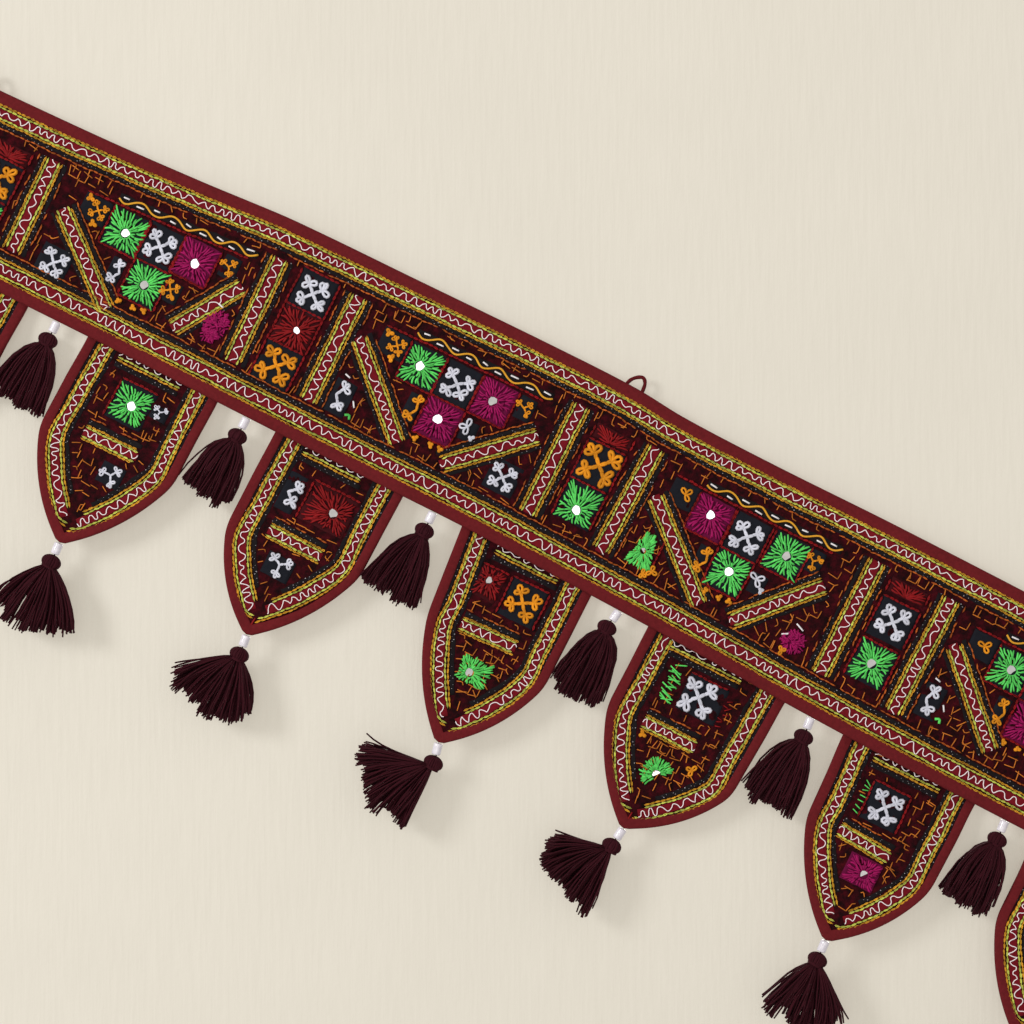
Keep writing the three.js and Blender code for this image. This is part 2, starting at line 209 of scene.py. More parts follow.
def band_inside(x, z):
    ends = np.minimum(x - BAND_LEFT, BAND_RIGHT - x)
    return np.minimum(ends, np.minimum(edge_height(TOP_EDGE, x) - z, z - edge_height(BOTTOM_EDGE, x)))


def petal_inside(petal):
    left, right = petal_side(petal, "left", 0), petal_side(petal, "right", 0)

    def inside(x, z):
        low = np.interp(-z, -left[:, 1], left[:, 0])
        high = np.interp(-z, -right[:, 1], right[:, 0])
        return np.minimum(np.minimum(x - low, high - x), (z - petal["tip_z"]) * 0.7)

    return inside


band = Cloth("band", band_depth, band_inside)
petals = [Cloth("petals", (lambda x, z, p=p: petal_depth(p, x, z)), petal_inside(p)) for p in PETALS]


# Meshes are gathered in buckets: one piece each, of many small things.
class Bucket:
    def __init__(self):
        self.points, self.tones, self.faces, self.count = [], [], {}, 0

    def add(self, points, faces, tone=0.5):
        """points is (..., 3) in mm; faces is a list of arrays of rows of corner numbers; tone is one or per point."""
        points = np.asarray(points, float).reshape(-1, 3)
        for rows in faces:
            self.faces.setdefault(rows.shape[-1], []).append(rows.reshape(-1, rows.shape[-1]) + self.count)
        self.points.append(points)
        self.tones.append(np.broadcast_to(tone, len(points)))
        self.count += len(points)

    def build(self, name, material, shade_smooth=True):
        points = np.concatenate(self.points) * MM
        mesh = bpy.data.meshes.new(name)
        rows = [np.concatenate(group) for group in self.faces.values()]
        corners = np.concatenate([r.ravel() for r in rows])
        sizes = np.concatenate([np.full(len(r), r.shape[1]) for r in rows])
        mesh.vertices.add(len(points))
        mesh.vertices.foreach_set("co", points.ravel())
        mesh.loops.add(len(corners))
        mesh.loops.foreach_set("vertex_index", corners.astype(np.int32))
        mesh.polygons.add(len(sizes))
        mesh.polygons.foreach_set("loop_start", np.concatenate([[0], np.cumsum(sizes)[:-1]]).astype(np.int32))
        mesh.update(calc_edges=True)
        mesh.polygons.foreach_set("use_smooth", np.full(len(sizes), shade_smooth))
        tone = mesh.attributes.new("tone", "FLOAT", "POINT")
        tone.data.foreach_set("value", np.concatenate(self.tones).astype(np.float32))
        mesh.validate()
        mesh.materials.append(material)
        piece = bpy.data.objects.new(name, mesh)
        bpy.context.scene.collection.objects.link(piece)
        return piece


buckets = {}


def bucket(name):
    return buckets.setdefault(name, Bucket())


def unit(v):
    return v / np.maximum(np.linalg.norm(v, axis=-1, keepdims=True), 1e-9)


def quads(a, b):
    """The faces between two closed rings of corner numbers."""
    return np.stack([a, b, np.roll(b, -1, -1), np.roll(a, -1, -1)], -1)


def tubes(into, paths, radius, sides=4, closed=False, tone=0.5, away=(0, -1, 0)):
    """A round thread along each of the paths, which is (n, p, 3); `away` points off the body that they lie on."""
    n, p, _ = paths.shape
    along = unit(np.roll(paths, -1, 1) - np.roll(paths, 1, 1) if closed else np.gradient(paths, axis=1))
    side = unit(np.cross(along, np.asarray(away, float)))
    up = np.cross(side, along)
    radius = np.broadcast_to(radius, (n, p))[..., None, None]
    angles = 2 * np.pi * (np.arange(sides) + 0.5) / sides
    ring = np.cos(angles)[:, None] * side[:, :, None] + np.sin(angles)[:, None] * up[:, :, None]
    ids = np.arange(n * p * sides).reshape(n, p, sides)
    a = ids if closed else ids[:, :-1]
    b = np.roll(ids, -1, 1) if closed else ids[:, 1:]
    faces = [quads(a, b)]
    if not closed:
        faces += [ids[:, 0], ids[:, -1, ::-1]]
    tone = np.broadcast_to(np.reshape(tone, (-1, 1)), (n, p * sides))
    into.add(paths[:, :, None] + radius * ring, faces, tone.ravel())


def sleeve(rows, count):
    """The faces of a closed outline of `count` points, carried along a line in `rows` steps."""
    ids = np.arange(rows * count).reshape(rows, count)
    a, b = ids[:-1], ids[1:]
    return [np.stack([a, np.roll(a, -1, 1), np.roll(b, -1, 1), b], -1), ids[:1, ::-1], ids[-1:]]


class Line:
    """A line on a cloth. A positive offset lies on the right of its direction, seen from the front."""

    def __init__(self, cloth, points, blur=0):
        self.cloth = cloth
        points = np.asarray(points, float)
        s = lengths_along(points)
        t = np.linspace(0, s[-1], max(3, int(round(s[-1])) + 1))
        points = np.stack([np.interp(t, s, points[:, k]) for k in (0, 1)], 1)
        self.points = eased(points, blur) if blur else points
        self.s = lengths_along(self.points)
        along = unit(np.gradient(self.points, axis=0))
        self.normal = np.stack([along[:, 1], -along[:, 0]], 1)
        self.length = self.s[-1]

    def at(self, s, offset=0.0):
        return [np.interp(s, self.s, self.points[:, k]) + np.interp(s, self.s, self.normal[:, k]) * offset
                for k in (0, 1)]

    def lay(self, s, offset, up):
        """Points in space at arc length s, `offset` mm beside the line and `up` mm off the cloth."""
        return self.cloth.on(*self.at(s, offset), up)


def wander(s, size, lengths=(9, 23, 61)):
    """A hand's unevenness along a seam."""
    total = 0
    for length in lengths:
        total = total + np.sin(2 * np.pi * s / length + rng.uniform(0, 2 * np.pi)) * size / len(lengths) ** 0.5
    return total


TAKEN_LEFT, TAKEN_LOW = -520, -300
taken = np.zeros((1040, 320), bool)  # square millimetres of the cloths that already carry something


def squares_at(x, z, margin=0):
    return tuple(np.clip(np.round(np.ravel(v) - low).astype(int), margin, size - margin - 1)
                 for v, low, size in zip((x, z), (TAKEN_LEFT, TAKEN_LOW), taken.shape))


def mark(x, z, size=1):
    """Remembers the places, so that the loose stitches keep off them."""
    i, k = squares_at(x, z, size)
    for di in range(-size, size + 1):
        for dk in range(-size, size + 1):
            taken[i + di, k + dk] = True


def is_free(x, z):
    return not taken[squares_at(x, z)].any()


def reach(spread, line, s):
    """The share of its offset that a seam keeps: one number, or one that changes along the line."""
    return spread(s / line.length) if callable(spread) else spread


STITCH = np.array([[0, 0], [1.6, 0.34], [3.4, 0.42], [4.6, 0], [3.4, -0.42], [1.6, -0.34]])
STITCH_UP = np.array([0.28, 0.5, 0.7, 0.76, 0.7, 0.5])
STITCH_PITCH = 3.9


# In all that follows, a run is the part of a line's length that a seam takes, from one arc length to another.
def chain(line, offset, look, run=None, wide=1.0, pitch=STITCH_PITCH, radius=0.4, spread=1.0, uneven=0.22,
          missing=0.0):
    """A row of chain stitches: loops of thread, each starting inside the end of the last."""
    start, end = run or (0.0, line.length)
    count = int((end - start) / pitch)
    s0 = start + pitch * np.arange(count) + rng.normal(0, 0.12, count)
    if missing:
        gaps = np.sin(2 * np.pi * s0 / 31 + rng.uniform(0, 6)) + np.sin(2 * np.pi * s0 / 17 + rng.uniform(0, 6))
        s0 = s0[gaps + rng.normal(0, 0.3, count) > 4 * missing - 2]
        count = len(s0)
    s = s0[:, None] + STITCH[:, 0] * (pitch / STITCH_PITCH)
    beside = offset * reach(spread, line, s) + wander(s, uneven)
    beside = beside + STITCH[:, 1] * wide * rng.uniform(0.85, 1.15, (count, 1))
    beside = beside + (STITCH[:, 0] / 4 - 0.5) * rng.normal(0, 0.26, (count, 1))
    mark(*line.at(s0 + 1.5, offset * reach(spread, line, s0)))
    tubes(line.cloth.sewn(look), line.lay(s, beside, STITCH_UP), radius, sides=3, closed=True,
          tone=rng.uniform(0, 1, count))


ZIGZAG_STEPS, ZIGZAG_UNEVEN, ZIGZAG_LEAN, ZIGZAG_RADIUS, ZIGZAG_UP = 10, 0.28, 0.05, 0.4, 0.6


def zigzag(line, offset, swing, length, spread=1.0):
    """A white thread laid in rounded zigzags."""
    s = np.linspace(0, line.length, max(4, int(line.length / length * ZIGZAG_STEPS)))
    rate = 1 + wander(s, ZIGZAG_UNEVEN, (17, 41, 73))
    phase = 2 * np.pi * np.cumsum(np.clip(rate, 0.45, 2.2)) * (s[1] - s[0]) / length + rng.uniform(0, 6)
    size = swing * (1 + wander(s, ZIGZAG_UNEVEN, (19, 47, 31))) * reach(spread, line, s)
    beside = offset + size * np.sin(phase) + wander(s, 0.25)
    along = s - ZIGZAG_LEAN * length * np.sin(2 * phase + wander(s, 1.6, (29, 53))) + wander(s, 0.3, (9, 23))
    tubes(line.cloth.sewn("white_zigzag"), line.lay(along, beside, ZIGZAG_UP)[None], ZIGZAG_RADIUS)


STRIP_STEP = 2.6


def strip(line, near, far, look, height=0.25, run=None, spread=1.0, uneven=0.12):
    """A flat ribbon or strip of cloth sewn along the line, from one offset to the other."""
    start, end = run or (0.0, line.length)
    count = max(3, int((end - start) / STRIP_STEP) + 1)
    s = np.linspace(start, end, count)[:, None]
    share = reach(spread, line, s)
    low = near * share + wander(s, uneven)
    high = far * share + wander(s, uneven)
    edge = np.clip((high - low) * 0.12, 0.05, 0.5)
    beside = np.concatenate([low, low, low + edge, (low + high) / 2, high - edge, high, high], 1)
    rise = np.array([-0.15, 0.6 * height, height, height, height, 0.6 * height, -0.15])
    for share in np.linspace(0, 1, max(3, int(np.max(high - low) / 1.5))):
        mark(*line.at(s, lerp(low, high, share)))
    line.cloth.sewn(look).add(line.lay(s, beside, rise), sleeve(count, 7), rng.uniform(0, 1))


SPECK_EVERY, SPECK_MISSING, SPECK_RADIUS, SPECK_UP = 4.6, 0.32, 0.42, 0.34
SPECK = np.array([[1, 0, 0], [0, 0, 1], [-1, 0, 0], [0, 0, -1], [0, -0.7, 0], [0, 0.7, 0]])
SPECK_FACES = np.array([[0, 1, 4], [1, 2, 4], [2, 3, 4], [3, 0, 4], [1, 0, 5], [2, 1, 5], [3, 2, 5], [0, 3, 5]])


def speckled_strip(line, near, far, specks, uneven=0.12, run=None, spread=1.0):
    """A black strip with staggered rows of white specks, one row at each of the offsets in `specks`."""
    strip(line, near, far, "black_strip", run=run, spread=spread, uneven=uneven)
    start, end = run or (0.0, line.length)
    for k, offset in enumerate(specks):
        count = int((end - start) / SPECK_EVERY)
        s = start + SPECK_EVERY * (np.arange(count) + 0.5 * (k % 2)) + rng.normal(0, 0.6, count)
        s = s[rng.uniform(0, 1, count) > SPECK_MISSING]
        count = len(s)
        centre = line.lay(s, offset * reach(spread, line, s) + rng.normal(0, 0.3, count), SPECK_UP)
        size = SPECK_RADIUS * rng.uniform(0.6, 1.25, (count, 1, 1))
        line.cloth.sewn("white_specks").add(centre[:, None] + size * SPECK,
                                            [np.arange(count)[:, None, None] * len(SPECK) + SPECK_FACES],
                                            np.repeat(rng.uniform(0, 1, count), len(SPECK)))


waiting_bars = []


def bars(line, near, far, every=9.0, run=None, spread=1.0, hook=0.35):
    """Short stitches across a seam, sewn later, when the motifs have taken their places."""
    waiting_bars.append((line, near, far, line.cloth.sewn("orange_stitches"), every, run, spread, hook))


BAR_MISSING, BAR_RADIUS, BAR_STEPS = 0.12, 0.44, 5
HOOK_FROM, HOOK_REACH = 0.7, 2.6  # the share of the stitch where its hook starts, and the hook's reach


def sew_bars(line, near, far, into, every, run, spread, hook):
    """Short stitches that stand across a seam, some with a hooked end, shorter where there is less room."""
    s0, end = run or (3.0, line.length)
    while s0 < end - 1:
        if rng.uniform() > BAR_MISSING:
            a = near * reach(spread, line, s0) + rng.normal(0, 0.5)
            b = far * reach(spread, line, s0) + rng.normal(0, 0.9)
            lean = rng.normal(0, 0.9)
            t = np.linspace(0, 1, BAR_STEPS)
            s = s0 + lean * t
            if rng.uniform() < hook:
                s = s + rng.choice([-1, 1]) * HOOK_REACH * np.clip(t - HOOK_FROM, 0, 1) / 0.3
                t = np.minimum(t, 0.8) / 0.8
            for share in (1, 0.8, 0.6):
                beside = lerp(a, b, t * share)
                if is_free(*line.at(s[2:], beside[2:])):
                    break
            else:
                s0 += every * 0.4
                continue
            path = line.lay(s, beside, 0.25 + 0.45 * np.sin(np.pi * np.linspace(0.08, 0.92, BAR_STEPS)))
            tubes(into, path[None], BAR_RADIUS, tone=rng.uniform())
        s0 += every * rng.uniform(0.8, 1.25)


def stitch(cloth, points, look, radius=0.46, sides=4, up=0.3, arch=0.35, tone=None, marked=True):
    """One thread through a few points (x, z) on the cloth."""
    points = np.asarray(points, float)
    if marked:
        mark(points[:, 0], points[:, 1])
    s = lengths_along(points)
    t = np.linspace(0, s[-1], max(4, int(s[-1] / 1.6) + 2))
    path = cloth.on(*(np.interp(t, s, points[:, k]) for k in (0, 1)), up + arch * np.sin(np.pi * t / s[-1]))
    tubes(cloth.sewn(look), path[None], radius, sides=sides, tone=rng.uniform() if tone is None else tone)


def dash(cloth, a, b):
    stitch(cloth, [a, b], "white_dashes", radius=0.62, sides=5, up=0.5, arch=0.25, tone=0.9)


# the trimming's parts, in mm beside its middle
RIBBON_HALF, LIME_OFF, GOLD_OFF, ORANGE_OFF = 3.6, 4.45, 6.4, 11.8
STRIP_OFF, SPECKS_OFF, BARS_OFF = (7.4, 10.6), (8.3, 9.8), (12.3, 18.8)
GOLD = dict(pitch=3.4, wide=1.15, radius=0.37)
ORANGE = dict(wide=0.7, radius=0.38, uneven=0.35)
RED = dict(wide=1.1, pitch=3.8, radius=0.52)
ALONE, WITH_CHAINS, WITH_STRIP, WITH_BARS = range(4)  # how much of the trimming goes with the ribbon


def ribbon(line, amount, spread=1.0, swing=2.35, length=7.2):
    """The toran's trimming: a crimson ribbon with a white zigzag, between lime and gold chains, and on its inner
    side a black speckled strip, an orange chain and short orange stitches."""
    strip(line, -RIBBON_HALF, RIBBON_HALF, "crimson_ribbon", height=0.3, spread=spread)
    zigzag(line, 0.0, swing, length, spread=spread)
    if amount >= WITH_CHAINS:
        for side in (-1, 1):
            chain(line, side * LIME_OFF, "lime_chain", spread=spread)
            chain(line, side * GOLD_OFF, "gold_chain", spread=spread, **GOLD)
    if amount >= WITH_STRIP:
        speckled_strip(line, *STRIP_OFF, SPECKS_OFF, uneven=0.3, spread=spread)
        chain(line, ORANGE_OFF, "orange_chain", spread=spread, missing=0.12, **ORANGE)
    if amount >= WITH_BARS:
        bars(line, *BARS_OFF, run=(4, line.length), spread=spread)


GROUND = {"magenta": "plum", "red": "garnet"}  # the patch under a flower, where it isn't black
PATCH_THICK = 0.22


def patch(cloth, centre, width, height, under=None):
    """A square of cloth sewn down flat; `under` is the colour of the motif on it."""
    x, z = centre
    line = Line(cloth, [(x - width / 2, z), (x + width / 2, z)])
    strip(line, -height / 2, height / 2, GROUND.get(under, "black") + "_patches", height=PATCH_THICK, uneven=0.25)


MIRROR_SIDES = 9
MIRROR_RINGS = ((1.0, -0.1), (1.0, 0.62), (0.93, 0.8))  # share of the radius, and mm off the cloth
CUT_SHARE = 0.85


def mirror(cloth, centre, radius, lean, cut):
    """A small sewn mirror, cut unevenly, a little domed at its edge."""
    x, z = centre
    angles = 2 * np.pi * np.arange(MIRROR_SIDES) / MIRROR_SIDES + rng.uniform(0, 1)
    sizes = radius * rng.uniform(0.8, 1.13, MIRROR_SIDES)
    px, pz = sizes * np.cos(angles), sizes * np.sin(angles)
    if cut is not None:  # a half-moon: what lies beyond a straight line is under the thread
        beyond = np.minimum(px * math.cos(cut) + pz * math.sin(cut), 0)
        px, pz = px - beyond * math.cos(cut) * CUT_SHARE, pz - beyond * math.sin(cut) * CUT_SHARE
    base = float(cloth.front(x, z))
    rows = [np.stack([x + px * share, base - up - lean[0] * px - lean[1] * pz, z + pz * share], -1)
            for share, up in MIRROR_RINGS]
    low, middle, high = np.arange(3 * MIRROR_SIDES).reshape(3, MIRROR_SIDES)
    sides = [np.stack([a, np.roll(a, -1), np.roll(b, -1), b], -1) for a, b in ((low, middle), (middle, high))]
    cloth.sewn("mirrors").add(np.stack(rows), [*sides, low[::-1][None], high[None]])


def on_rim(s, width, height, narrow):
    """The point at length s round a box, which is `narrow` times as wide at its top."""
    s = np.mod(s, 2 * (width + height))
    sides = [s < width, s < width + height, s < 2 * width + height]
    x = np.select(sides, [s - width / 2, width / 2, 1.5 * width + height - s], -width / 2)
    z = np.select(sides, [height / 2, height / 2 - (s - width), -height / 2], s - 2 * width - 1.5 * height)
    return x * lerp(1.0, narrow, z / height + 0.5), z


STAR_RINGS = ((4.2, 0.0, 0.62), (2.75, 0.36, 1.0))  # one thread every, and the shares where it starts and ends
THREAD_TAPER, THREAD_RADIUS = np.array([0.7, 0.9, 1.0, 1.02, 0.72]), 0.78
PAIRING = 0.75  # how far each thread's end leans to its neighbour's
RIM_OUT, RIM_UP, RIM_RADIUS, RIM_STEPS = 0.35, 0.85, 0.5, 22


def flower(cloth, centre, colour, width=26.5, height=27, mirror_at=(0, 0), lean=(0, 0), radius=3.4, span=(0, 360),
           cut=None, reach_by=None, narrow=1.0, dense=1.0):
    """A mirror held by a star of dense stitches, in two rings, out to the edge of a box, or of a shape that is
    `narrow` times as wide at its top."""
    threads = cloth.sewn(colour + "_flowers")
    mx, mz = centre[0] + mirror_at[0], centre[1] + mirror_at[1]
    around = 2 * (width + height)
    for ring_number, (every, low, high) in enumerate(STAR_RINGS):
        every = every / dense
        count = int(around / every)
        s = (np.arange(count) + rng.uniform(0, 1)) * around / count + rng.normal(0, 0.3, count)
        pair = (s // (2 * every) + 0.5) * 2 * every
        targets = []
        for place_on in (s, lerp(s, pair, PAIRING)):
            x, z = on_rim(place_on, width, height, narrow)
            targets.append(np.stack([centre[0] + x - mx, centre[1] + z - mz], -1))
        outer, paired = targets
        angle = np.degrees(np.arctan2(outer[:, 1], outer[:, 0])) % 360
        keep = (angle - span[0]) % 360 <= span[1] - span[0]
        outer, paired, amount = outer[keep], paired[keep], int(keep.sum())
        if reach_by is not None:
            outer, paired = unit(outer) * reach_by, unit(paired) * reach_by
        far = outer * (rng.uniform(0.8, 1.03, (amount, 1)) * high)
        rim = unit(paired) * (radius + 0.3)
        near = rim if low == 0 else lerp(rim, paired, low * rng.uniform(0.8, 1.2, (amount, 1)))
        t = np.linspace(0, 1, len(THREAD_TAPER))[None, :, None]
        flat = lerp(near[:, None], far[:, None], t)
        bow = unit(far - near)[:, None, ::-1] * [1, -1] * np.sin(np.pi * t) * rng.normal(0, 0.45, (amount, 1, 1))
        px, pz = mx + (flat + bow)[..., 0], mz + (flat + bow)[..., 1]
        up = 0.5 + 0.35 * np.sin(np.pi * (0.2 + 0.65 * t[..., 0])) + 0.25 * (1 - ring_number)
        tubes(threads, cloth.on(px, pz, up), THREAD_RADIUS * THREAD_TAPER * rng.uniform(0.88, 1.1, (amount, 1)),
              tone=rng.uniform(0, 1, amount))
    if radius > 0:
        a = np.radians(np.linspace(*span, RIM_STEPS, endpoint=False))
        rim = np.stack([mx + (radius + RIM_OUT) * np.cos(a), cloth.front(mx + 0 * a, mz + 0 * a, RIM_UP),
                        mz + (radius + RIM_OUT) * np.sin(a)], -1)
        tubes(threads, rim[None], RIM_RADIUS, closed=span == (0, 360), tone=0.4)
        mirror(cloth, (mx, mz), radius, lean, cut)


HEAP_DENSITY, HEAP_FILL, HEAP_RADIUS = 0.42, 0.92, 0.62


def heap(cloth, centre, colour, width, height, lean=0.0):
    """A solid oval of short thick stitches that cross one another."""
    count = int(width * height * HEAP_DENSITY)
    turn = rng.uniform(0, 2 * np.pi, count)
    share = np.sqrt(rng.uniform(0, 1, count)) * HEAP_FILL
    x = centre[0] + width / 2 * share * np.cos(turn)
    z = centre[1] + height / 2 * share * np.sin(turn)
    x = x + lean * (z - centre[1])
    angle = turn + rng.normal(0, 0.7, count)
    half = rng.uniform(1.0, 2.1, count)
    t = np.linspace(-1, 1, 4)[None]
    px = x[:, None] + half[:, None] * t * np.cos(angle)[:, None]
    pz = z[:, None] + half[:, None] * t * np.sin(angle)[:, None]
    up = 0.5 + 0.9 * (1 - share**2)[:, None] + rng.uniform(-0.2, 0.2, (count, 1)) - 0.45 * t**2
    tubes(cloth.sewn(colour + "_flowers"), cloth.on(px, pz, up), HEAP_RADIUS, tone=rng.uniform(0, 1, count))
    mark(px, pz)


WAVE_SWING, WAVE_LENGTH, WAVE_STEPS, WAVE_UP, WAVE_RADIUS = 2.5, 22.5, 16, 0.75, 0.72


def wave_and_dashes(line):
    """A gold thread in long waves, with a white dash in each hollow."""
    s = np.linspace(0, line.length, int(line.length / WAVE_LENGTH * WAVE_STEPS))
    phase = 2 * np.pi * s / WAVE_LENGTH + wander(s, 0.25, (97, 61))
    beside = WAVE_SWING * np.sin(phase) + wander(s, 0.2)
    tubes(line.cloth.sewn("gold_waves"), line.lay(s, beside, WAVE_UP)[None], WAVE_RADIUS, sides=6, tone=0.6)
    for k in range(int(2 * line.length / WAVE_LENGTH)):
        middle = float(np.interp((k + 0.5) * np.pi, phase, s)) + rng.normal(0, 0.5)
        off = (-1 if k % 2 == 0 else 1) * WAVE_SWING * rng.uniform(0.3, 0.62)
        half = rng.uniform(2.0, 2.9)
        if 3 < middle < line.length - 3:
            dash(line.cloth, line.at(middle - half, off), line.at(middle + half, off + rng.normal(0, 0.4)))


LOBE_SIDES = 10


def lobe(cloth, base, direction, length, width, look, radius):
    """One closed loop of thick thread, lying on the cloth."""
    t = np.arange(LOBE_SIDES) / LOBE_SIDES
    along = length * (0.5 - 0.5 * np.cos(2 * np.pi * t))
    across = width / 2 * np.sin(2 * np.pi * t) * (0.45 + 0.55 * along / length)
    cx, cz = math.cos(direction), math.sin(direction)
    path = cloth.on(base[0] + along * cx - across * cz, base[1] + along * cz + across * cx, 0.7 + 0.25 * along / length)
    tubes(cloth.sewn(look), path[None], radius, sides=5, closed=True, tone=rng.uniform())


CROSS_SIZE, ARM_SHARE = 25.0, 0.59
LOBES = ((0, 5.0), (76, 4.7), (-76, 4.7))  # degrees from the arm's direction, and length


def cross(cloth, centre, colour, size=CROSS_SIZE, arms=(45, 135, 225, 315), turn=0.0):
    """Four arms of thick chain stitch from one middle, each ending in three plump closed loops."""
    look = colour + "_crosses"
    scale = size / CROSS_SIZE
    for arm in arms:
        direction = math.radians(arm + turn + rng.normal(0, 4))
        cx, cz = math.cos(direction), math.sin(direction)
        joint = size * ARM_SHARE * rng.uniform(0.47, 0.54)
        for start, length in ((-0.3, joint * 0.62), (joint * 0.46, joint * 0.6)):
            base = (centre[0] + cx * start, centre[1] + cz * start)
            lobe(cloth, base, direction + rng.normal(0, 0.08), length, 1.3 * scale, look, 0.68 * scale)
        tip = (centre[0] + cx * joint, centre[1] + cz * joint)
        for spread, length in LOBES:
            lobe(cloth, tip, direction + math.radians(spread + rng.normal(0, 13)),
                 length * scale * rng.uniform(0.84, 1.14), 3.5 * scale * rng.uniform(0.72, 1.15), look, scale)


def curl(cloth, at, colour, size=1.0):
    """A few small loops of thick thread, the part of a cross that shows in a cut patch."""
    first = rng.uniform(0, 2 * np.pi)
    for k in range(3):
        lobe(cloth, at, first + k * 1.75 + rng.normal(0, 0.3), 3.9 * size, 2.7 * size, colour + "_crosses", 0.78)
    mark(*at, size=3)


def red_box(cloth, centre, width, height, sides="tblr"):
    """Red chain lines round a patch: its top, bottom, left and right."""
    x, z = centre
    left, right, low, high = x - width / 2, x + width / 2, z - height / 2, z + height / 2
    ends = {"t": [(left, high), (right, high)], "b": [(right, low), (left, low)],
            "l": [(left, low), (left, high)], "r": [(right, high), (right, low)]}
    for side in sides:
        chain(Line(cloth, ends[side]), 0, "red_chain", uneven=0.2, **RED)


def top_at(x):
    return float(edge_height(TOP_EDGE, x))


def bottom_at(x):
    return float(edge_height(BOTTOM_EDGE, x))


def place(x, down):
    return x, top_at(x) - down


# The band's two borders
BORDER_LEFT, BORDER_RIGHT = BAND_LEFT + 9.5, BAND_RIGHT - 9.5
TOP_RIBBON_DOWN, BOTTOM_RIBBON_UP = 13.9, 15.0


def border(edge, up):
    x = np.linspace(BORDER_LEFT, BORDER_RIGHT, 500)
    return np.stack([x, edge_height(edge, x) + up], 1)


ribbon(Line(band, border(TOP_EDGE, -TOP_RIBBON_DOWN)), WITH_BARS, spread=0.8)
ribbon(Line(band, border(BOTTOM_EDGE, BOTTOM_RIBBON_UP)[::-1]), WITH_BARS, spread=0.98)

# Uprights, between narrow and wide panels
UPRIGHTS = [-479.4, -421.6, -253, -194.8, -26.5, 30.6, 199.9, 255.7, 426.4, 483.5]
UPRIGHT_TOP, UPRIGHT_BOTTOM = 27.5, 28.5
PLAIN_SIDES = ((0, 1), (len(UPRIGHTS) - 1, -1))  # the sides of the first and the last that carry no black strip
for k, x in enumerate(UPRIGHTS):
    line = Line(band, [(x + rng.normal(0, 0.6), top_at(x) - UPRIGHT_TOP),
                       (x + rng.normal(0, 0.8), bottom_at(x) + UPRIGHT_BOTTOM)])
    ribbon(line, WITH_CHAINS, spread=0.93, swing=2.3, length=8.0)
    for side in (-1, 1):
        if (k, side) not in PLAIN_SIDES:
            speckled_strip(line, *sorted((side * 7.1, side * 9.7)), (side * 7.8, side * 9.2), uneven=0.35)
            chain(line, side * 10.8, "orange_chain", missing=0.45, **ORANGE)

# Wide panels: x of the middle, and the ends of the diagonals, from the middle and from the top edge down
WIDE = [
    (-331, [(-71, 55), (-14, 106)], [(62, 55.5), (31.8, 100.6)]),
    (-108.5, [(-74.5, 52.5), (-18.5, 106)], [(64.6, 59.5), (14, 106.7)]),
    (113.6, [(-68.5, 56), (-8, 108)], [(62, 58.5), (15.5, 109)]),
    (341, [(-70, 54), (-14, 107)], [(58, 57), (17, 108)]),
]
WAVES_DOWN, RED_DOWN, ROWS_DOWN = 32.2, 36.4, 52.1
CELL_X, CELL_Z = 27.2, 28.0
WHITE_MIRROR, GREY_MIRROR = (0.0, 0.0), (-0.25, 0.15)
SQUARES = [  # x, row and kind, and for a flower its mirror's shift and lean
    [(-26.2, 0, "green", (0.5, -1), WHITE_MIRROR), (-0.4, 0, "white_cross"),
     (25.8, 0, "magenta", (0, -1.5), WHITE_MIRROR), (1.7, 1, "green", (0, -0.5), GREY_MIRROR)],
    [(-26.8, 0, "green", (-1.8, 0), WHITE_MIRROR), (-0.3, 0, "white_cross"),
     (27.2, 0, "magenta", (-0.7, 0), GREY_MIRROR), (0, 1, "magenta", (-1.5, 0.7), WHITE_MIRROR)],
    [(-27.9, 0, "magenta", (-0.7, 2), WHITE_MIRROR), (0.3, 0, "white_cross"),
     (29.6, 0, "green", (0.5, 0), GREY_MIRROR), (-0.3, 1, "green", (0.3, 1.4), WHITE_MIRROR)],
    [(-26.8, 0, "green", (0.6, 0.5), GREY_MIRROR), (0.2, 0, "white_cross"),
     (27.2, 0, "magenta", (0.5, -0.8), WHITE_MIRROR), (0.6, 1, "magenta", (0.8, 0), WHITE_MIRROR)],
]
# what shows in the two lower corners: kind, x from the middle, mm under the top edge
CORNERS = [
    [("white_cross", -60, 91), ("magenta_shield", 58, 88)],
    [("white_half", -68, 95), ("white_cross", 56, 95.5)],
    [("green_corner", -58, 93), ("magenta_corner", 60, 102)],
    [("white_half", -67, 96), ("white_cross", 57, 97)],
]


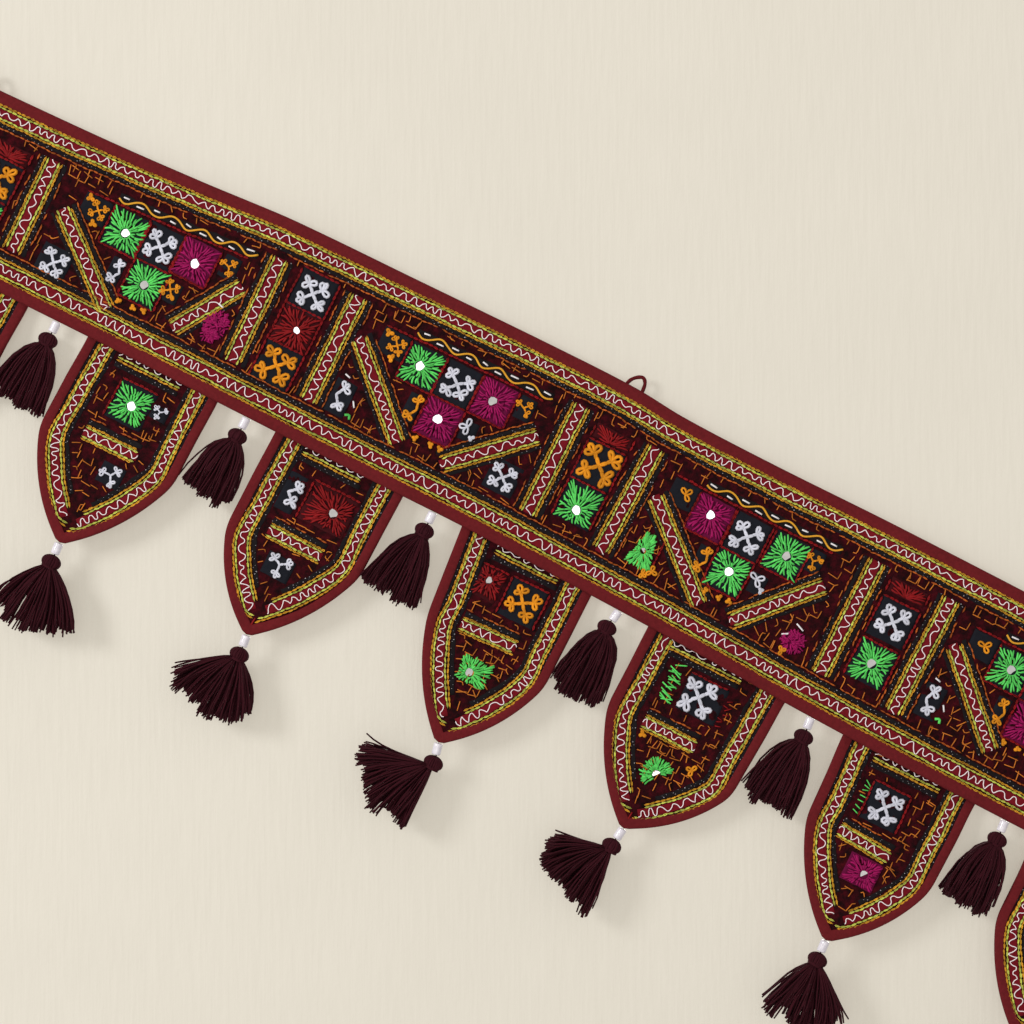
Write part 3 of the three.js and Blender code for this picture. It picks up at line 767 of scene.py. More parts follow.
def corner_motif(kind, at):
    x, z = at
    if kind == "white_cross":
        patch(band, at, 22, 22)
        cross(band, at, "white", size=21.5, turn=rng.normal(0, 6))
    elif kind == "white_half":
        patch(band, (x + 1, z), 15, 24)
        cross(band, (x - 2.5, z + 1), "white", size=23, arms=(62, -58))
        stitch(band, [(x + 9, z - 9), (x + 12, z - 7.5), (x + 13, z - 10.5)], "green_flowers", radius=1.1)
        dash(band, (x - 3, z + 16), (x + 1, z + 15))
        dash(band, (x + 10, z + 2), (x + 12.5, z - 2))
    elif kind == "magenta_shield":
        patch(band, at, 12, 15, "magenta")
        heap(band, (x, z + 1), "magenta", 17, 22, lean=0.1)
        heap(band, (x - 1, z - 7), "magenta", 12, 10)
        dash(band, (x - 5, z + 15), (x - 1, z + 14))
    elif kind == "green_corner":
        flower(band, at, "green", width=21, height=26, radius=2.2, mirror_at=(-0.5, 0.0), lean=GREY_MIRROR,
               cut=math.radians(60), narrow=0.4, dense=1.5)
        red_box(band, at, 20, 27, "r")
        curl(band, (x + 11, z - 10), "gold")
        curl(band, (x + 6, z - 14), "gold", size=0.8)
    elif kind == "magenta_corner":
        patch(band, at, 12, 10, "magenta")
        heap(band, at, "magenta", 18, 16)
        dash(band, (x - 3, z + 12), (x + 3, z + 9.5))
        dash(band, (x - 9, z + 1), (x - 4, z + 4))
        curl(band, (x - 4, z - 9), "gold", size=0.8)


for (middle, left, right), squares, corners in zip(WIDE, SQUARES, CORNERS):
    def spot(dx, down, middle=middle):
        return place(middle + dx, down)

    for x, row, kind, *mirror_set in squares:
        centre = spot(x, ROWS_DOWN + CELL_Z * row)
        patch(band, centre, 26.5, 27.3, kind)
        if kind == "white_cross":
            cross(band, centre, "white", size=25)
        else:
            flower(band, centre, kind, mirror_at=mirror_set[0], lean=mirror_set[1])
        red_box(band, centre, CELL_X, CELL_Z, "blr")
    # the red line over the squares, and the black strip with a gold wave and white dashes over that
    chain(Line(band, [spot(dx, RED_DOWN) for dx in np.linspace(-61, 57, 24)]), 0, "red_chain", **RED)
    above = Line(band, [spot(dx, WAVES_DOWN) for dx in np.linspace(-40, 62, 20)])
    strip(above, -3.0, 3.0, "black_strip", uneven=0.5)
    wave_and_dashes(above)
    # pieces of crosses in the cut patches beside and under the squares
    x, z = left_end = spot(-51, 46.6)
    right_end = spot(48.5, 47)
    patch(band, left_end, 20, 18)
    patch(band, right_end, 12, 16)
    if middle < 0:
        cross(band, (x + 2.5, z + 0.5), "gold", size=14.5, turn=rng.normal(0, 8))
        curl(band, (x - 6, z + 6), "gold", size=0.7)
        curl(band, (x + 3, z - 9), "gold", size=0.65)
    else:
        curl(band, (x + 1, z + 1), "gold", size=1.25)
    cross(band, (right_end[0] - 1, right_end[1]), "gold", size=14, arms=(45, 150, -60), turn=rng.normal(0, 8))
    patch(band, spot(-20.5, 80), 10, 20)
    patch(band, spot(21, 78), 11, 14)
    part_kinds = ("white", "gold") if middle < -300 else ("gold", "white") if middle < 200 else ("gold", "gold")
    cross(band, spot(-17, 80), part_kinds[0], size=20, arms=(110, 235), turn=rng.normal(0, 6))
    if part_kinds[1] == "gold":
        cross(band, spot(19, 76), "gold", size=15, turn=rng.normal(0, 6))
    else:
        curl(band, spot(19, 75), "white", size=1.4)
        curl(band, spot(25, 81), "white", size=0.5)
    for dx, down in ((-9, 97.5), (2, 97.5), (9, 97)):
        curl(band, spot(dx, down), "gold", size=0.5)
    # the diagonals, drawn with their inner side to the right
    for ends in (left[::-1], right):
        line = Line(band, [spot(*end) for end in ends])
        ribbon(line, WITH_STRIP, spread=0.88, swing=2.2, length=7.8)
        speckled_strip(line, -9.0, -6.8, (-7.8,), uneven=0.4)
        bars(line, 12.2, 17, every=8)
        bars(line, -9.8, -15, every=8)
    for kind, dx, down in corners:
        corner_motif(kind, spot(dx, down))

# Narrow panels: x, and kinds with their place under the top edge, and the mirror's shift, or None for a cut flower
NARROW = [
    (-450.5, (("red", 35, None), ("gold_cross", 55.5, 0), ("green", 83.5, 0))),
    (-224, (("white_cross", 40.1, 0), ("red", 67, 3.4), ("gold_cross", 94.5, 0))),
    (2, (("red", 37.5, None), ("gold_cross", 58.5, 0), ("green", 88, 0.3))),
    (228, (("red", 37, None), ("white_cross", 60, 0), ("green", 91.5, 0))),
    (455, (("white_cross", 42, 0), ("red", 69, 0), ("gold_cross", 96, 0))),
]
for x, cells in NARROW:
    for kind, down, shift in cells:
        partial = shift is None
        centre = place(x, down)
        height = 10 if partial else 28
        patch(band, centre, 27.5, height, kind)
        if partial:
            flower(band, centre, kind, width=26, height=9, mirror_at=(0, -4.2), radius=0, span=(0, 180))
        elif kind == "gold_cross":
            cross(band, centre, "gold", size=32 if x == 2 else 28)
        elif kind == "white_cross":
            cross(band, centre, "white", size=26)
        else:
            flower(band, centre, kind, width=27, height=27.5, mirror_at=(shift * 0.4, -4.4 if x == 2 else 0),
                   lean=GREY_MIRROR if x == 228 else WHITE_MIRROR, radius=2.5 if kind == "red" else 3.4)
        red_box(band, centre, 28.6, height + 1, "lr" if partial else "lrt")

# Petals
PETAL_RIBBON_IN, PETAL_SHOULDER_IN, PETAL_RIBBON_SWELL = 14.6, 12.4, 6.0
CHAIN_TRIM, STRIP_TRIM = 5, 14  # how far from the tip the inner chains and the black strip stop
UNDER_SHORT, BAR_HALF, BAR_HALF_MORE = 26, 19.5, 2.5
# where the ribbons end: mm beside the tip's middle and above the tip, on the left and on the right
USUAL_ENDS = (5, 17), (5, 17)
PETAL_ENDS = [USUAL_ENDS, USUAL_ENDS, ((4.2, 16.5), (4.6, 21)), USUAL_ENDS, ((6.6, 17), (4.4, 13)), USUAL_ENDS,
              USUAL_ENDS]


def petal_ribbon(petal, side, beside_tip, over_tip):
    sign = 1 if side == "left" else -1
    top_x = petal[side] + sign * PETAL_RIBBON_IN
    top = np.array([top_x, bottom_at(top_x) + 2])
    shoulder = np.array([petal[side + "_x"] + sign * PETAL_SHOULDER_IN, petal[side + "_z"] + 0.5])
    above = np.array([petal[side + "_x"] + sign * (PETAL_RIBBON_IN - 1.0), petal[side + "_z"] + 14])
    end = np.array([petal["tip_x"] - sign * beside_tip, petal["tip_z"] + over_tip])
    middle = swell(sign, shoulder, end, PETAL_RIBBON_SWELL)
    points = np.concatenate([[top, above], bezier(shoulder, middle, end, np.linspace(0, 1, 14))])
    return points if side == "right" else points[::-1]


def narrow_at_top(side):
    if side == "right":
        return lambda s: lerp(0.74, 0.9, smooth((s - 0.42) / 0.25))
    return lambda s: lerp(0.9, 0.74, smooth((s - 0.33) / 0.25))


def trimmed(line, side, amount):
    """The run of a petal's ribbon without its last `amount` mm at the tip; a left one starts there."""
    return (amount, line.length) if side == "left" else (0, line.length - amount)
PETAL_MOTIFS = [
    [("white_half", -14, 32), ("green", 11, 31), ("trefoil", 0, 82)],
    [("green", 0, 28.5), ("trefoil_small", 20, 25), ("white_part", 10, 77)],
    [("white_half", -14, 32), ("red_wide", 11, 31), ("trefoil", -1.5, 81)],
    [("red_half", -18, 25.5), ("gold_cross", 8.5, 27), ("green_half", 0, 83)],
    [("green_half_left", -17, 26), ("slate_cross", 6, 26), ("green_moon", 1.5, 84),
     ("gold_curl", 24, 72), ("gold_curl_small", -17, 65)],
    [("green_bits", -21, 30), ("white_cross", -4, 30), ("magenta_moon", 1, 76)],
    [("red_half", -18, 26), ("gold_cross", 8.5, 27), ("green_half", 0, 82)],
]
BAR_DOWN = [58, 58.5, 61, 57.5, 57, 58.5, 58]
BAR_SHIFT = [0, 0, 1.2, -2.4, -0.6, -5.9, 0]


def petal_sides(petal, cloth, all_ends):
    for side, ends in zip(("left", "right"), all_ends):
        sign = 1 if side == "left" else -1
        line = Line(cloth, petal_ribbon(petal, side, *ends), blur=7)
        spread = narrow_at_top(side)
        ribbon(line, ALONE, spread=spread, swing=2.5)
        for offset, look in ((LIME_OFF, "lime_chain"), (GOLD_OFF, "gold_chain")):
            chain(line, offset, look, trimmed(line, side, CHAIN_TRIM), spread=spread)
        # the outer chains run on to the point
        for offset, look, stop in ((-LIME_OFF, "lime_chain", 11.5), (-GOLD_OFF, "gold_chain", 9.3)):
            s = np.linspace(0, line.length, 40)
            course = np.stack(line.at(s, offset * reach(spread, line, s)), -1)
            point = [(petal["tip_x"] - sign * 0.8, petal["tip_z"] + stop + (2.5 if side == "left" else 0))]
            chain(Line(cloth, np.concatenate([point, course] if side == "left" else [course, point]), blur=3), 0, look)
        run = trimmed(line, side, STRIP_TRIM)
        speckled_strip(line, 7.6, 11.0, (8.4, 10.1), uneven=0.4, run=run, spread=spread)
        bars(line, 11.0, 16, every=8.5, run=(run[0] + 2, run[1] - 2), hook=0.5)
        # outside, a black speckled strip where the ribbon is narrow
        speckled_strip(line, -11.6, -7.6, (-8.4, -10.4), uneven=0.3, run=trimmed(line, side, line.length / 2),
                       spread=0.76)


def petal_motif(kind, cloth, at, on_fourth):
    x, z = at
    colour = kind.split("_")[0]
    lean = GREY_MIRROR if kind == "red_wide" or on_fourth else WHITE_MIRROR
    if kind in ("green", "red_wide"):
        wide = 34 if kind == "red_wide" else 27
        patch(cloth, at, wide, 28, colour)
        flower(cloth, at, colour, width=wide - 1, height=26, mirror_at=(4.2, -1) if kind == "red_wide" else (0.5, -0.5),
               lean=lean)
        red_box(cloth, at, wide + 1, 29, "tl")
    elif kind in ("white_cross", "gold_cross"):
        patch(cloth, at, 27, 27)
        cross(cloth, at, colour, size=26, turn=-12 if on_fourth else 0)
        red_box(cloth, at, 28, 28, "tlr")
    elif kind == "slate_cross":
        patch(cloth, (x + 3, z), 29, 26)
        cross(cloth, at, "white", size=29)
        red_box(cloth, (x + 3, z), 29, 27, "t")
        for n in range(7):
            px, pz = x + 20.5 + rng.normal(0, 1.1), z + 6 - 3 * n
            stitch(cloth, [(px - 1.5, pz), (px + 2.2, pz + rng.normal(0, 1.2))], "red_flowers", radius=0.5)
    elif kind == "white_half":
        patch(cloth, (x - 3, z), 13, 27)
        cross(cloth, (x - 5, z), "white", size=24, arms=(45, -45))
    elif kind == "white_part":
        patch(cloth, at, 17, 15)
        cross(cloth, at, "white", size=17, arms=(60, 180, 300))
    elif colour == "trefoil":
        size = 0.6 if kind.endswith("small") else 1
        patch(cloth, at, 20 * size, 16 * size)
        cross(cloth, (x, z + 2 * size), "white", size=19 * size, arms=(35, 150, 270))
    elif kind == "red_half":
        patch(cloth, at, 18, 22, "red")
        flower(cloth, at, "red", width=18, height=21, mirror_at=(-1, 2), radius=2.6, lean=lean)
        red_box(cloth, at, 19, 23, "t")
    elif kind in ("green_half", "green_moon", "magenta_moon"):
        if colour == "magenta":
            patch(cloth, at, 24, 20, colour)
        span, reach_by = ((20, 250), 12) if kind == "green_moon" else ((0, 360), None)
        flower(cloth, at, colour, width=23, height=19, mirror_at=(-2.5, -2) if on_fourth else (2, -1), lean=lean,
               cut=None if kind == "green_half" else math.radians(140), span=span, reach_by=reach_by, dense=1.35,
               radius=3.0)
    elif kind == "green_half_left":
        for n in range(15):
            px, pz = x + rng.uniform(-4, 1), z + 12.5 - 1.75 * n
            end = px + rng.uniform(6, 10), pz + rng.choice([-1, 1]) * rng.uniform(1.5, 4)
            stitch(cloth, [(px, pz), end], "green_flowers", radius=0.62)
    elif kind.startswith("gold_curl"):
        curl(cloth, at, "gold", size=0.6 if kind.endswith("small") else 1)
    elif kind == "green_bits":
        for n in range(7):
            pz = z + 11 - 3.6 * n
            stitch(cloth, [(x - 2.2, pz), (x + 2.2, pz + rng.normal(0, 1.2))], "green_flowers", radius=0.5)


for k, (petal, cloth) in enumerate(zip(PETALS, petals)):
    tip_x = petal["tip_x"]

    def spot(dx, down, tip_x=tip_x, edge=bottom_at(tip_x)):
        return tip_x + dx, edge - down

    petal_sides(petal, cloth, PETAL_ENDS[k])
    if k in (2, 4):
        stitch(cloth, [(tip_x, petal["tip_z"] + 7.2), (tip_x + 0.4, petal["tip_z"] + 12.5)], "red_chain", radius=0.7)
    # the trimming that shows under the band's edge, and the bar across
    half = (petal["right"] - petal["left"]) / 2 - UNDER_SHORT
    under = Line(cloth, [spot(-half, 3.2), spot(half, 3.0)])
    zigzag(under, -2.8, 1.2, 8.3)
    chain(under, 0.1, "lime_chain")
    chain(under, 2.0, "gold_chain")
    speckled_strip(under, 3.2, 6.6, (4.2, 5.7))
    bars(under, 8, 13, every=10.5, hook=0.2)
    shift, down = BAR_SHIFT[k], BAR_DOWN[k]
    half = BAR_HALF + rng.uniform(0, BAR_HALF_MORE)
    bar_line = Line(cloth, [spot(shift + end, down + rng.normal(0, 0.8)) for end in (-half, half)])
    ribbon(bar_line, WITH_CHAINS, spread=0.76, swing=2.7, length=7.4)
    speckled_strip(bar_line, -9.2, -5.8, (-6.7, -8.3), uneven=0.35)
    chain(bar_line, -10.2, "orange_chain", missing=0.4, **ORANGE)
    bars(bar_line, -12, -17)
    bars(bar_line, 7, 12, hook=0.5)
    for kind, dx, down in PETAL_MOTIFS[k]:
        petal_motif(kind, cloth, spot(dx, down), k == 3)

# Loose ladder and fork stitches on the velvet that is still bare, in courses as of bricks
COURSE, BRICK, BARE_FROM_EDGE = 6.3, 7.9, 9.5


def loose_stitches(cloth, low, high):
    for row, z0 in enumerate(np.arange(low[1], high[1], COURSE)):
        x0 = low[0] + (row % 2) * BRICK / 2
        while x0 < high[0]:
            lie = rng.uniform(5.2, 7.6)
            z = z0 + rng.normal(0, 0.45)
            corner = x0 + lie, z + rng.normal(0, 0.7)
            rise = rng.uniform(5.2, 6.6) * rng.choice([1, -1], p=[0.88, 0.12])
            top = corner[0] + rng.normal(0, 0.7), corner[1] + rise
            kinds = rng.uniform(size=3)
            drawn = []
            for start, end, wanted in (((x0, z), corner, kinds[0] < 0.7), (corner, top, kinds[1] < 0.85)):
                px, pz = (np.linspace(start[n], end[n], 6) for n in (0, 1))
                if wanted and cloth.inside(px, pz).min() > BARE_FROM_EDGE and is_free(px, pz):
                    drawn.append([start, end])
            for points in drawn:
                stitch(cloth, points, "orange_stitches", radius=0.42, marked=False)
            if drawn and kinds[2] < 0.1:
                x, z = drawn[-1][1]
                stitch(cloth, [(x, z), (x + rng.choice([-1, 1]) * 2.0, z + rng.normal(0.8, 0.5))], "orange_stitches",
                       radius=0.4, marked=False)
            x0 += BRICK * rng.uniform(0.85, 1.2)


for waiting in waiting_bars:
    sew_bars(*waiting)
loose_stitches(band, (BAND_LEFT, -140), (BAND_RIGHT, -20))
for petal, cloth in zip(PETALS, petals):
    loose_stitches(cloth, (petal["left"], petal["tip_z"]), (petal["right"], -152))


# Cloths
def cloth_mesh(cloth, rows_left, rows_right, cells, name):
    """A closed sheet: its front has the stitching's hills, its back is plain."""
    t = np.linspace(0, 1, cells + 1)
    grid = rows_left[:, None] * (1 - t[None, :, None]) + rows_right[:, None] * t[None, :, None]
    x, z = grid[..., 0], grid[..., 1]
    back = np.stack([x, cloth.depth(x, z) + CLOTH / 2, z], -1)
    f, b = np.arange(2 * x.size).reshape(2, *x.shape)
    faces = [np.stack([f[:-1, :-1], f[1:, :-1], f[1:, 1:], f[:-1, 1:]], -1),
             np.stack([b[:-1, :-1], b[:-1, 1:], b[1:, 1:], b[1:, :-1]], -1)]
    rim = np.concatenate([np.stack([f[0, :], b[0, :]], -1), np.stack([f[1:, -1], b[1:, -1]], -1),
                          np.stack([f[-1, -2::-1], b[-1, -2::-1]], -1), np.stack([f[-2:0:-1, 0], b[-2:0:-1, 0]], -1)])
    after = np.roll(rim, -1, 0)
    faces.append(np.stack([rim[:, 0], after[:, 0], after[:, 1], rim[:, 1]], -1))
    bucket(name).add(np.stack([cloth.on(x, z), back]), faces)


def spaced(points, count):
    s = np.linspace(0, len(points) - 1, count)
    return np.stack([np.interp(s, np.arange(len(points)), points[:, c]) for c in (0, 1)], 1)


band_x = np.linspace(BAND_LEFT + EDGE_SETBACK, BAND_RIGHT - EDGE_SETBACK, 250)
upper = np.stack([band_x, edge_height(TOP_EDGE, band_x) - EDGE_SETBACK], 1)
lower = np.stack([band_x, edge_height(BOTTOM_EDGE, band_x) + EDGE_SETBACK], 1)
cloth_mesh(band, lower, upper, 34, "band_velvet")
for k, (petal, cloth) in enumerate(zip(PETALS, petals)):
    left, right = (petal_side(petal, side, EDGE_SETBACK, 3) for side in ("left", "right"))
    count = max(len(left), len(right))
    cloth_mesh(cloth, spaced(left, count), spaced(right, count), 24, f"petal_velvet_{k + 1}")

# Bindings: a tape folded over the edge, rounded at the fold; the section's points are how far in, and how deep
HALF_SECTION = [(0.15, 0.95), (0.6, 1.6), (1.4, 2.05), (3.0, 2.25), (5.4, 2.25), (7.4, 2.1), (8.2, 1.85), (8.4, 1.5),
                (8.2, 1.3), (1.3, 1.3), (0.95, 0.9)]
TAPE_SECTION = np.array([(0.0, 0.0), *((a, -d) for a, d in HALF_SECTION), *HALF_SECTION[::-1]])
PETAL_TAPE_WIDTH, TAPE_STITCH, SEAM_PULL = 6.9, 8.5, 0.12


def tape(outer, inner, depth, name, width=BINDING_WIDTH):
    """outer and inner are the tape's two lines; the seam along the inner one pulls it in a little at each stitch."""
    s = lengths_along(outer)
    share = TAPE_SECTION[:, 0] / BINDING_WIDTH * (width / BINDING_WIDTH)
    uneven = 1 + wander(s, 0.02, (13, 37, 71))[:, None] * (share > 0.5)
    at = outer[:, None] + (inner - outer)[:, None] * (share * uneven)[..., None]
    seam = smooth((TAPE_SECTION[:, 0] - 5) / 3) * np.sin(np.pi * s / TAPE_STITCH)[:, None] ** 2 * SEAM_PULL
    puff = wander(s, 0.1, (21, 57, 33))[:, None] * (np.abs(TAPE_SECTION[:, 1]) > 1.8)
    y = depth(at[..., 0], at[..., 1]) + TAPE_SECTION[:, 1] - np.sign(TAPE_SECTION[:, 1]) * (seam + puff * 0.5)
    bucket(name).add(np.stack([at[..., 0], y, at[..., 1]], -1), sleeve(len(outer), len(TAPE_SECTION)))


x = np.linspace(BAND_LEFT, BAND_RIGHT, 360)
top_outer = np.stack([x, edge_height(TOP_EDGE, x)], 1)
tape(top_outer, top_outer - [0, BINDING_WIDTH], band_depth, "heading_binding")
bottom_outer = np.stack([x, edge_height(BOTTOM_EDGE, x)], 1)[::-1]
tape(bottom_outer, bottom_outer + [0, BINDING_WIDTH], band_depth, "lower_binding")
for side, x, sign in (("left", BAND_LEFT, 1), ("right", BAND_RIGHT, -1)):
    between = BINDING_WIDTH + SEAM_GAP
    z = np.linspace(bottom_at(x) + between, top_at(x) - between, 44)[::sign]
    outer = np.stack([np.full_like(z, x), z], 1)
    tape(outer, outer + [sign * BINDING_WIDTH, 0], band_depth, f"end_binding_{side}")


STRAIGHT_STATIONS, CURVED_STATIONS, FINE_STEP = 26, 34, 0.5


def picked(points, count):
    return points[np.round(np.linspace(0, len(points) - 1, count)).astype(int)]


def petal_outline(petal, inset):
    """Down one side, round the tip and up the other, at matching stations whatever the inset."""
    parts = []
    for side in ("right", "left"):
        line = petal_side(petal, side, inset, FINE_STEP)
        shoulder = max(4, int(round((line[0][1] - petal[side + "_z"]) / FINE_STEP)))
        parts.append(np.concatenate([picked(line[:shoulder + 1], STRAIGHT_STATIONS)[:-1],
                                     picked(line[shoulder:], CURVED_STATIONS)]))
    tip = np.array([[petal["tip_x"], petal["tip_z"] + inset * TIP_MITRE]])
    return np.concatenate([parts[0], tip, parts[1][::-1]])


for k, (petal, cloth) in enumerate(zip(PETALS, petals)):
    tape(petal_outline(petal, 0), petal_outline(petal, BINDING_WIDTH), cloth.depth, f"petal_edging_{k + 1}",
         width=PETAL_TAPE_WIDTH)


# Hanging loops
def catmull(points, count):
    """A smooth line through the points."""
    points = np.asarray(points, float)
    padded = np.concatenate([2 * points[:1] - points[1:2], points, 2 * points[-1:] - points[-2:-1]])
    t = np.linspace(0, len(points) - 1 - 1e-6, count)
    k = t.astype(int)
    u = (t - k)[:, None]
    p0, p1, p2, p3 = (padded[k + n] for n in range(4))
    return 0.5 * (2 * p1 + (p2 - p0) * u + (2 * p0 - 5 * p1 + 4 * p2 - p3) * u**2 + (3 * p1 - p0 - 3 * p2 + p3) * u**3)


LOOP_STATIONS = 56
for name, x, lean in LOOPS:
    edge = top_at(x)
    depth = float(band_depth(x, edge)) + TAPE_OUTSIDE + SEAM_GAP + LOOP_RADIUS
    path = catmull([(x + px * lean, depth, edge + pz) for px, pz in LOOP_LINE], LOOP_STATIONS)
    twist = 1 + 0.06 * np.sin(34 * np.linspace(0, 1, LOOP_STATIONS))
    tubes(bucket(f"cloth_loop_{name}"), path[None], LOOP_RADIUS * twist, sides=12)

# Beads and tassels
BEAD_CHAMFER, BEAD_TURNS = 0.8, 28


def bead_mesh(centre, along, name):
    half, straight = BEAD_LENGTH / 2, BEAD_RADIUS - BEAD_CHAMFER
    upper = [(BEAD_HOLE, half - 0.2), (BEAD_HOLE + 0.25, half), (straight, half)]
    upper += [(straight + BEAD_CHAMFER * math.sin(a), half - BEAD_CHAMFER + BEAD_CHAMFER * math.cos(a))
              for a in (0.52, 1.05, 1.57)]
    profile = np.array([*upper, *((BEAD_RADIUS, half * share) for share in (0.4, 0.0, -0.4)),
                        *((r, -z) for r, z in upper[::-1])])
    axis = unit(along)
    side = unit(np.cross(axis, (0, -1, 0)))
    up = np.cross(side, axis)
    angle = 2 * np.pi * np.arange(BEAD_TURNS) / BEAD_TURNS
    around = np.cos(angle)[:, None] * side + np.sin(angle)[:, None] * up
    points = centre + profile[None, :, :1] * around[:, None] + profile[None, :, 1:] * axis
    ids = np.arange(BEAD_TURNS * len(profile)).reshape(BEAD_TURNS, len(profile))
    bucket(name).add(points, [quads(ids, np.roll(ids, -1, 0))])


YARNS, YARN_STEPS, YARN_RADIUS, TUFTS = 270, 7, 0.8, 10
TUFT_PULL, YARN_SHARE, NECK_HALF = 0.42, 0.925, 4.2
HEAD_OVER = np.array([1.04, 1.04, 0.98])  # how much fuller the wound head is than the solid's
CORE_SHARE = 0.95
CORE_TURNS, CORE_LEVELS = 24, 10
HEAD_YARNS, HEAD_YARN_RADIUS = 34, 0.72
TIE_TURNS, TIE_RADIUS = 2.3, 0.55


def tassel_mesh(spec, head, hang, name):
    into = bucket(name)
    share = (np.arange(YARNS) + rng.uniform(0.1, 0.9, YARNS)) / YARNS
    # the yarns lie in tufts, which gather at their cut ends, and one or two stray
    tuft = np.floor(share * TUFTS + rng.normal(0, 0.3, YARNS))
    tuft_share = np.clip((tuft + 0.5) / TUFTS, 0, 1)
    tuft_length = rng.normal(1.0, 0.06, TUFTS + 3)[np.clip(tuft.astype(int), 0, TUFTS + 2)]
    stray = np.isin(np.arange(YARNS), (1, 3) if rng.uniform() < 0.6 else (2, YARNS - 3))
    body = np.radians(lerp(-spec["left"], spec["right"], share) + rng.normal(0, 2.6, YARNS))
    gathered = lerp(share, tuft_share, TUFT_PULL)
    gathered = np.where(stray, gathered + np.sign(gathered - 0.5) * rng.uniform(0.04, 0.12, YARNS), gathered)
    spread = np.radians(lerp(-spec["left"], spec["right"], gathered) + rng.normal(0, 1.9, YARNS))
    layer = rng.uniform(-1, 1, YARNS) * SKIRT_DEPTH * 1.1
    length = spec["length"] * YARN_SHARE * tuft_length * rng.normal(1.0, 0.02, YARNS)
    root = np.stack([head[0] + np.sin(body) * NECK_HALF, head[1] + layer * 0.6,
                     np.full(YARNS, head[2] - NECK_DROP)], -1)
    end = np.stack([np.sin(spread) * length, layer, -np.cos(spread) * length], -1)
    droop = np.clip(spec["droop"] + rng.normal(0, 0.07, YARNS), 0, 1)
    turn = np.stack([np.sin(body) * length * lerp(0.5, 0.95, droop), layer * 1.6,
                     -np.cos(body) * length * lerp(0.5, 0.12, droop)], -1)
    s = np.linspace(0, 1, YARN_STEPS)
    path = bezier(root[:, None], (root + turn)[:, None], (root + end)[:, None], s)
    wobble = np.sin(s[None, :, None] * rng.uniform(4, 9, (YARNS, 1, 1)) + rng.uniform(0, 6.3, (YARNS, 1, 3)))
    path = path + wobble * np.array([0.75, 0.5, 0.4]) * s[None, :, None] ** 0.7
    radius = YARN_RADIUS * rng.uniform(0.88, 1.1, (YARNS, 1)) * (1 - 0.2 * s**8)
    tubes(into, path, radius, sides=3, tone=rng.uniform(0, 1, YARNS))
    # the head: a core, covered by yarns that run over it to the neck, and a few turns of yarn round the neck
    wide, deep, tall = np.array([HEAD_WIDTH, HEAD_DEPTH, HEAD_HEIGHT]) * HEAD_OVER
    angle = 2 * np.pi * np.arange(CORE_TURNS) / CORE_TURNS
    level = (np.linspace(0.06, 0.78, CORE_LEVELS) * np.pi)[:, None]
    core = np.stack([head[0] + wide * CORE_SHARE * np.sin(level) * np.cos(angle),
                     head[1] + deep * CORE_SHARE * np.sin(level) * np.sin(angle),
                     head[2] + tall * CORE_SHARE * np.cos(level) + 0 * angle], -1)
    ids = np.arange(CORE_LEVELS * CORE_TURNS).reshape(CORE_LEVELS, CORE_TURNS)
    into.add(core, [quads(ids[:-1], ids[1:]), ids[:1], ids[-1:, ::-1]], 0.3)
    angle = 2 * np.pi * (np.arange(HEAD_YARNS) + rng.uniform(0.2, 0.8, HEAD_YARNS)) / HEAD_YARNS
    level = np.linspace(0.08, 0.8, 9)[None] * np.pi
    swirl = angle[:, None] + rng.normal(0, 0.06, (HEAD_YARNS, 1)) * level
    outward = np.stack([wide * np.sin(level) * np.cos(swirl), deep * np.sin(level) * np.sin(swirl),
                        tall * np.cos(level) + 0 * swirl], -1)
    tubes(into, head + outward * CORE_SHARE, HEAD_YARN_RADIUS, away=outward, tone=rng.uniform(0, 1, HEAD_YARNS))
    t = np.linspace(0, TIE_TURNS * 2 * np.pi, int(TIE_TURNS * 20))
    tie = np.stack([head[0] + 5.0 * np.cos(t), head[1] + 4.5 * np.sin(t), head[2] - 2.6 - 0.8 * t / (2 * np.pi)], -1)
    tubes(into, tie[None], TIE_RADIUS, sides=5, away=(0, 0, 1), tone=0.7)
    # the thread through the bead
    top = np.array([head[0], head[1], head[2] + HEAD_HEIGHT * 0.6])
    tubes(into, lerp(top, hang, np.linspace(0, 1, 8)[:, None])[None], TIE_RADIUS, sides=6, tone=0.2)


for spec in TASSELS:
    at_tip = [petal for petal in PETALS if abs(petal["tip_x"] - spec["hang_x"]) < TIP_WIDTH]
    if at_tip:
        edge = at_tip[0]["tip_z"]
        depth = float(petal_depth(at_tip[0], spec["hang_x"], edge))
    else:
        edge = bottom_at(spec["hang_x"])
        depth = float(band_depth(spec["hang_x"], edge))
    hang = np.array([spec["hang_x"], depth, edge - 1.5 * SEAM_GAP])
    along = unit(np.array([spec["hang_x"] - spec["head_x"], 0, HEAD_DROP]))
    tassel_mesh(spec, hang - along * HEAD_DROP, hang, "yarn_tassel_" + spec["name"])
    bead_mesh(hang - along * BEAD_LENGTH / 2, along, "tube_bead_" + spec["name"])

# Materials
ROLL = math.radians(27)  # the camera's turn about its view, which the wall's streaks keep to


def linear(r, g, b):
    def channel(v):
        v /= 255
        return v / 12.92 if v <= 0.04045 else ((v + 0.055) / 1.055) ** 2.4
    return channel(r), channel(g), channel(b), 1.0


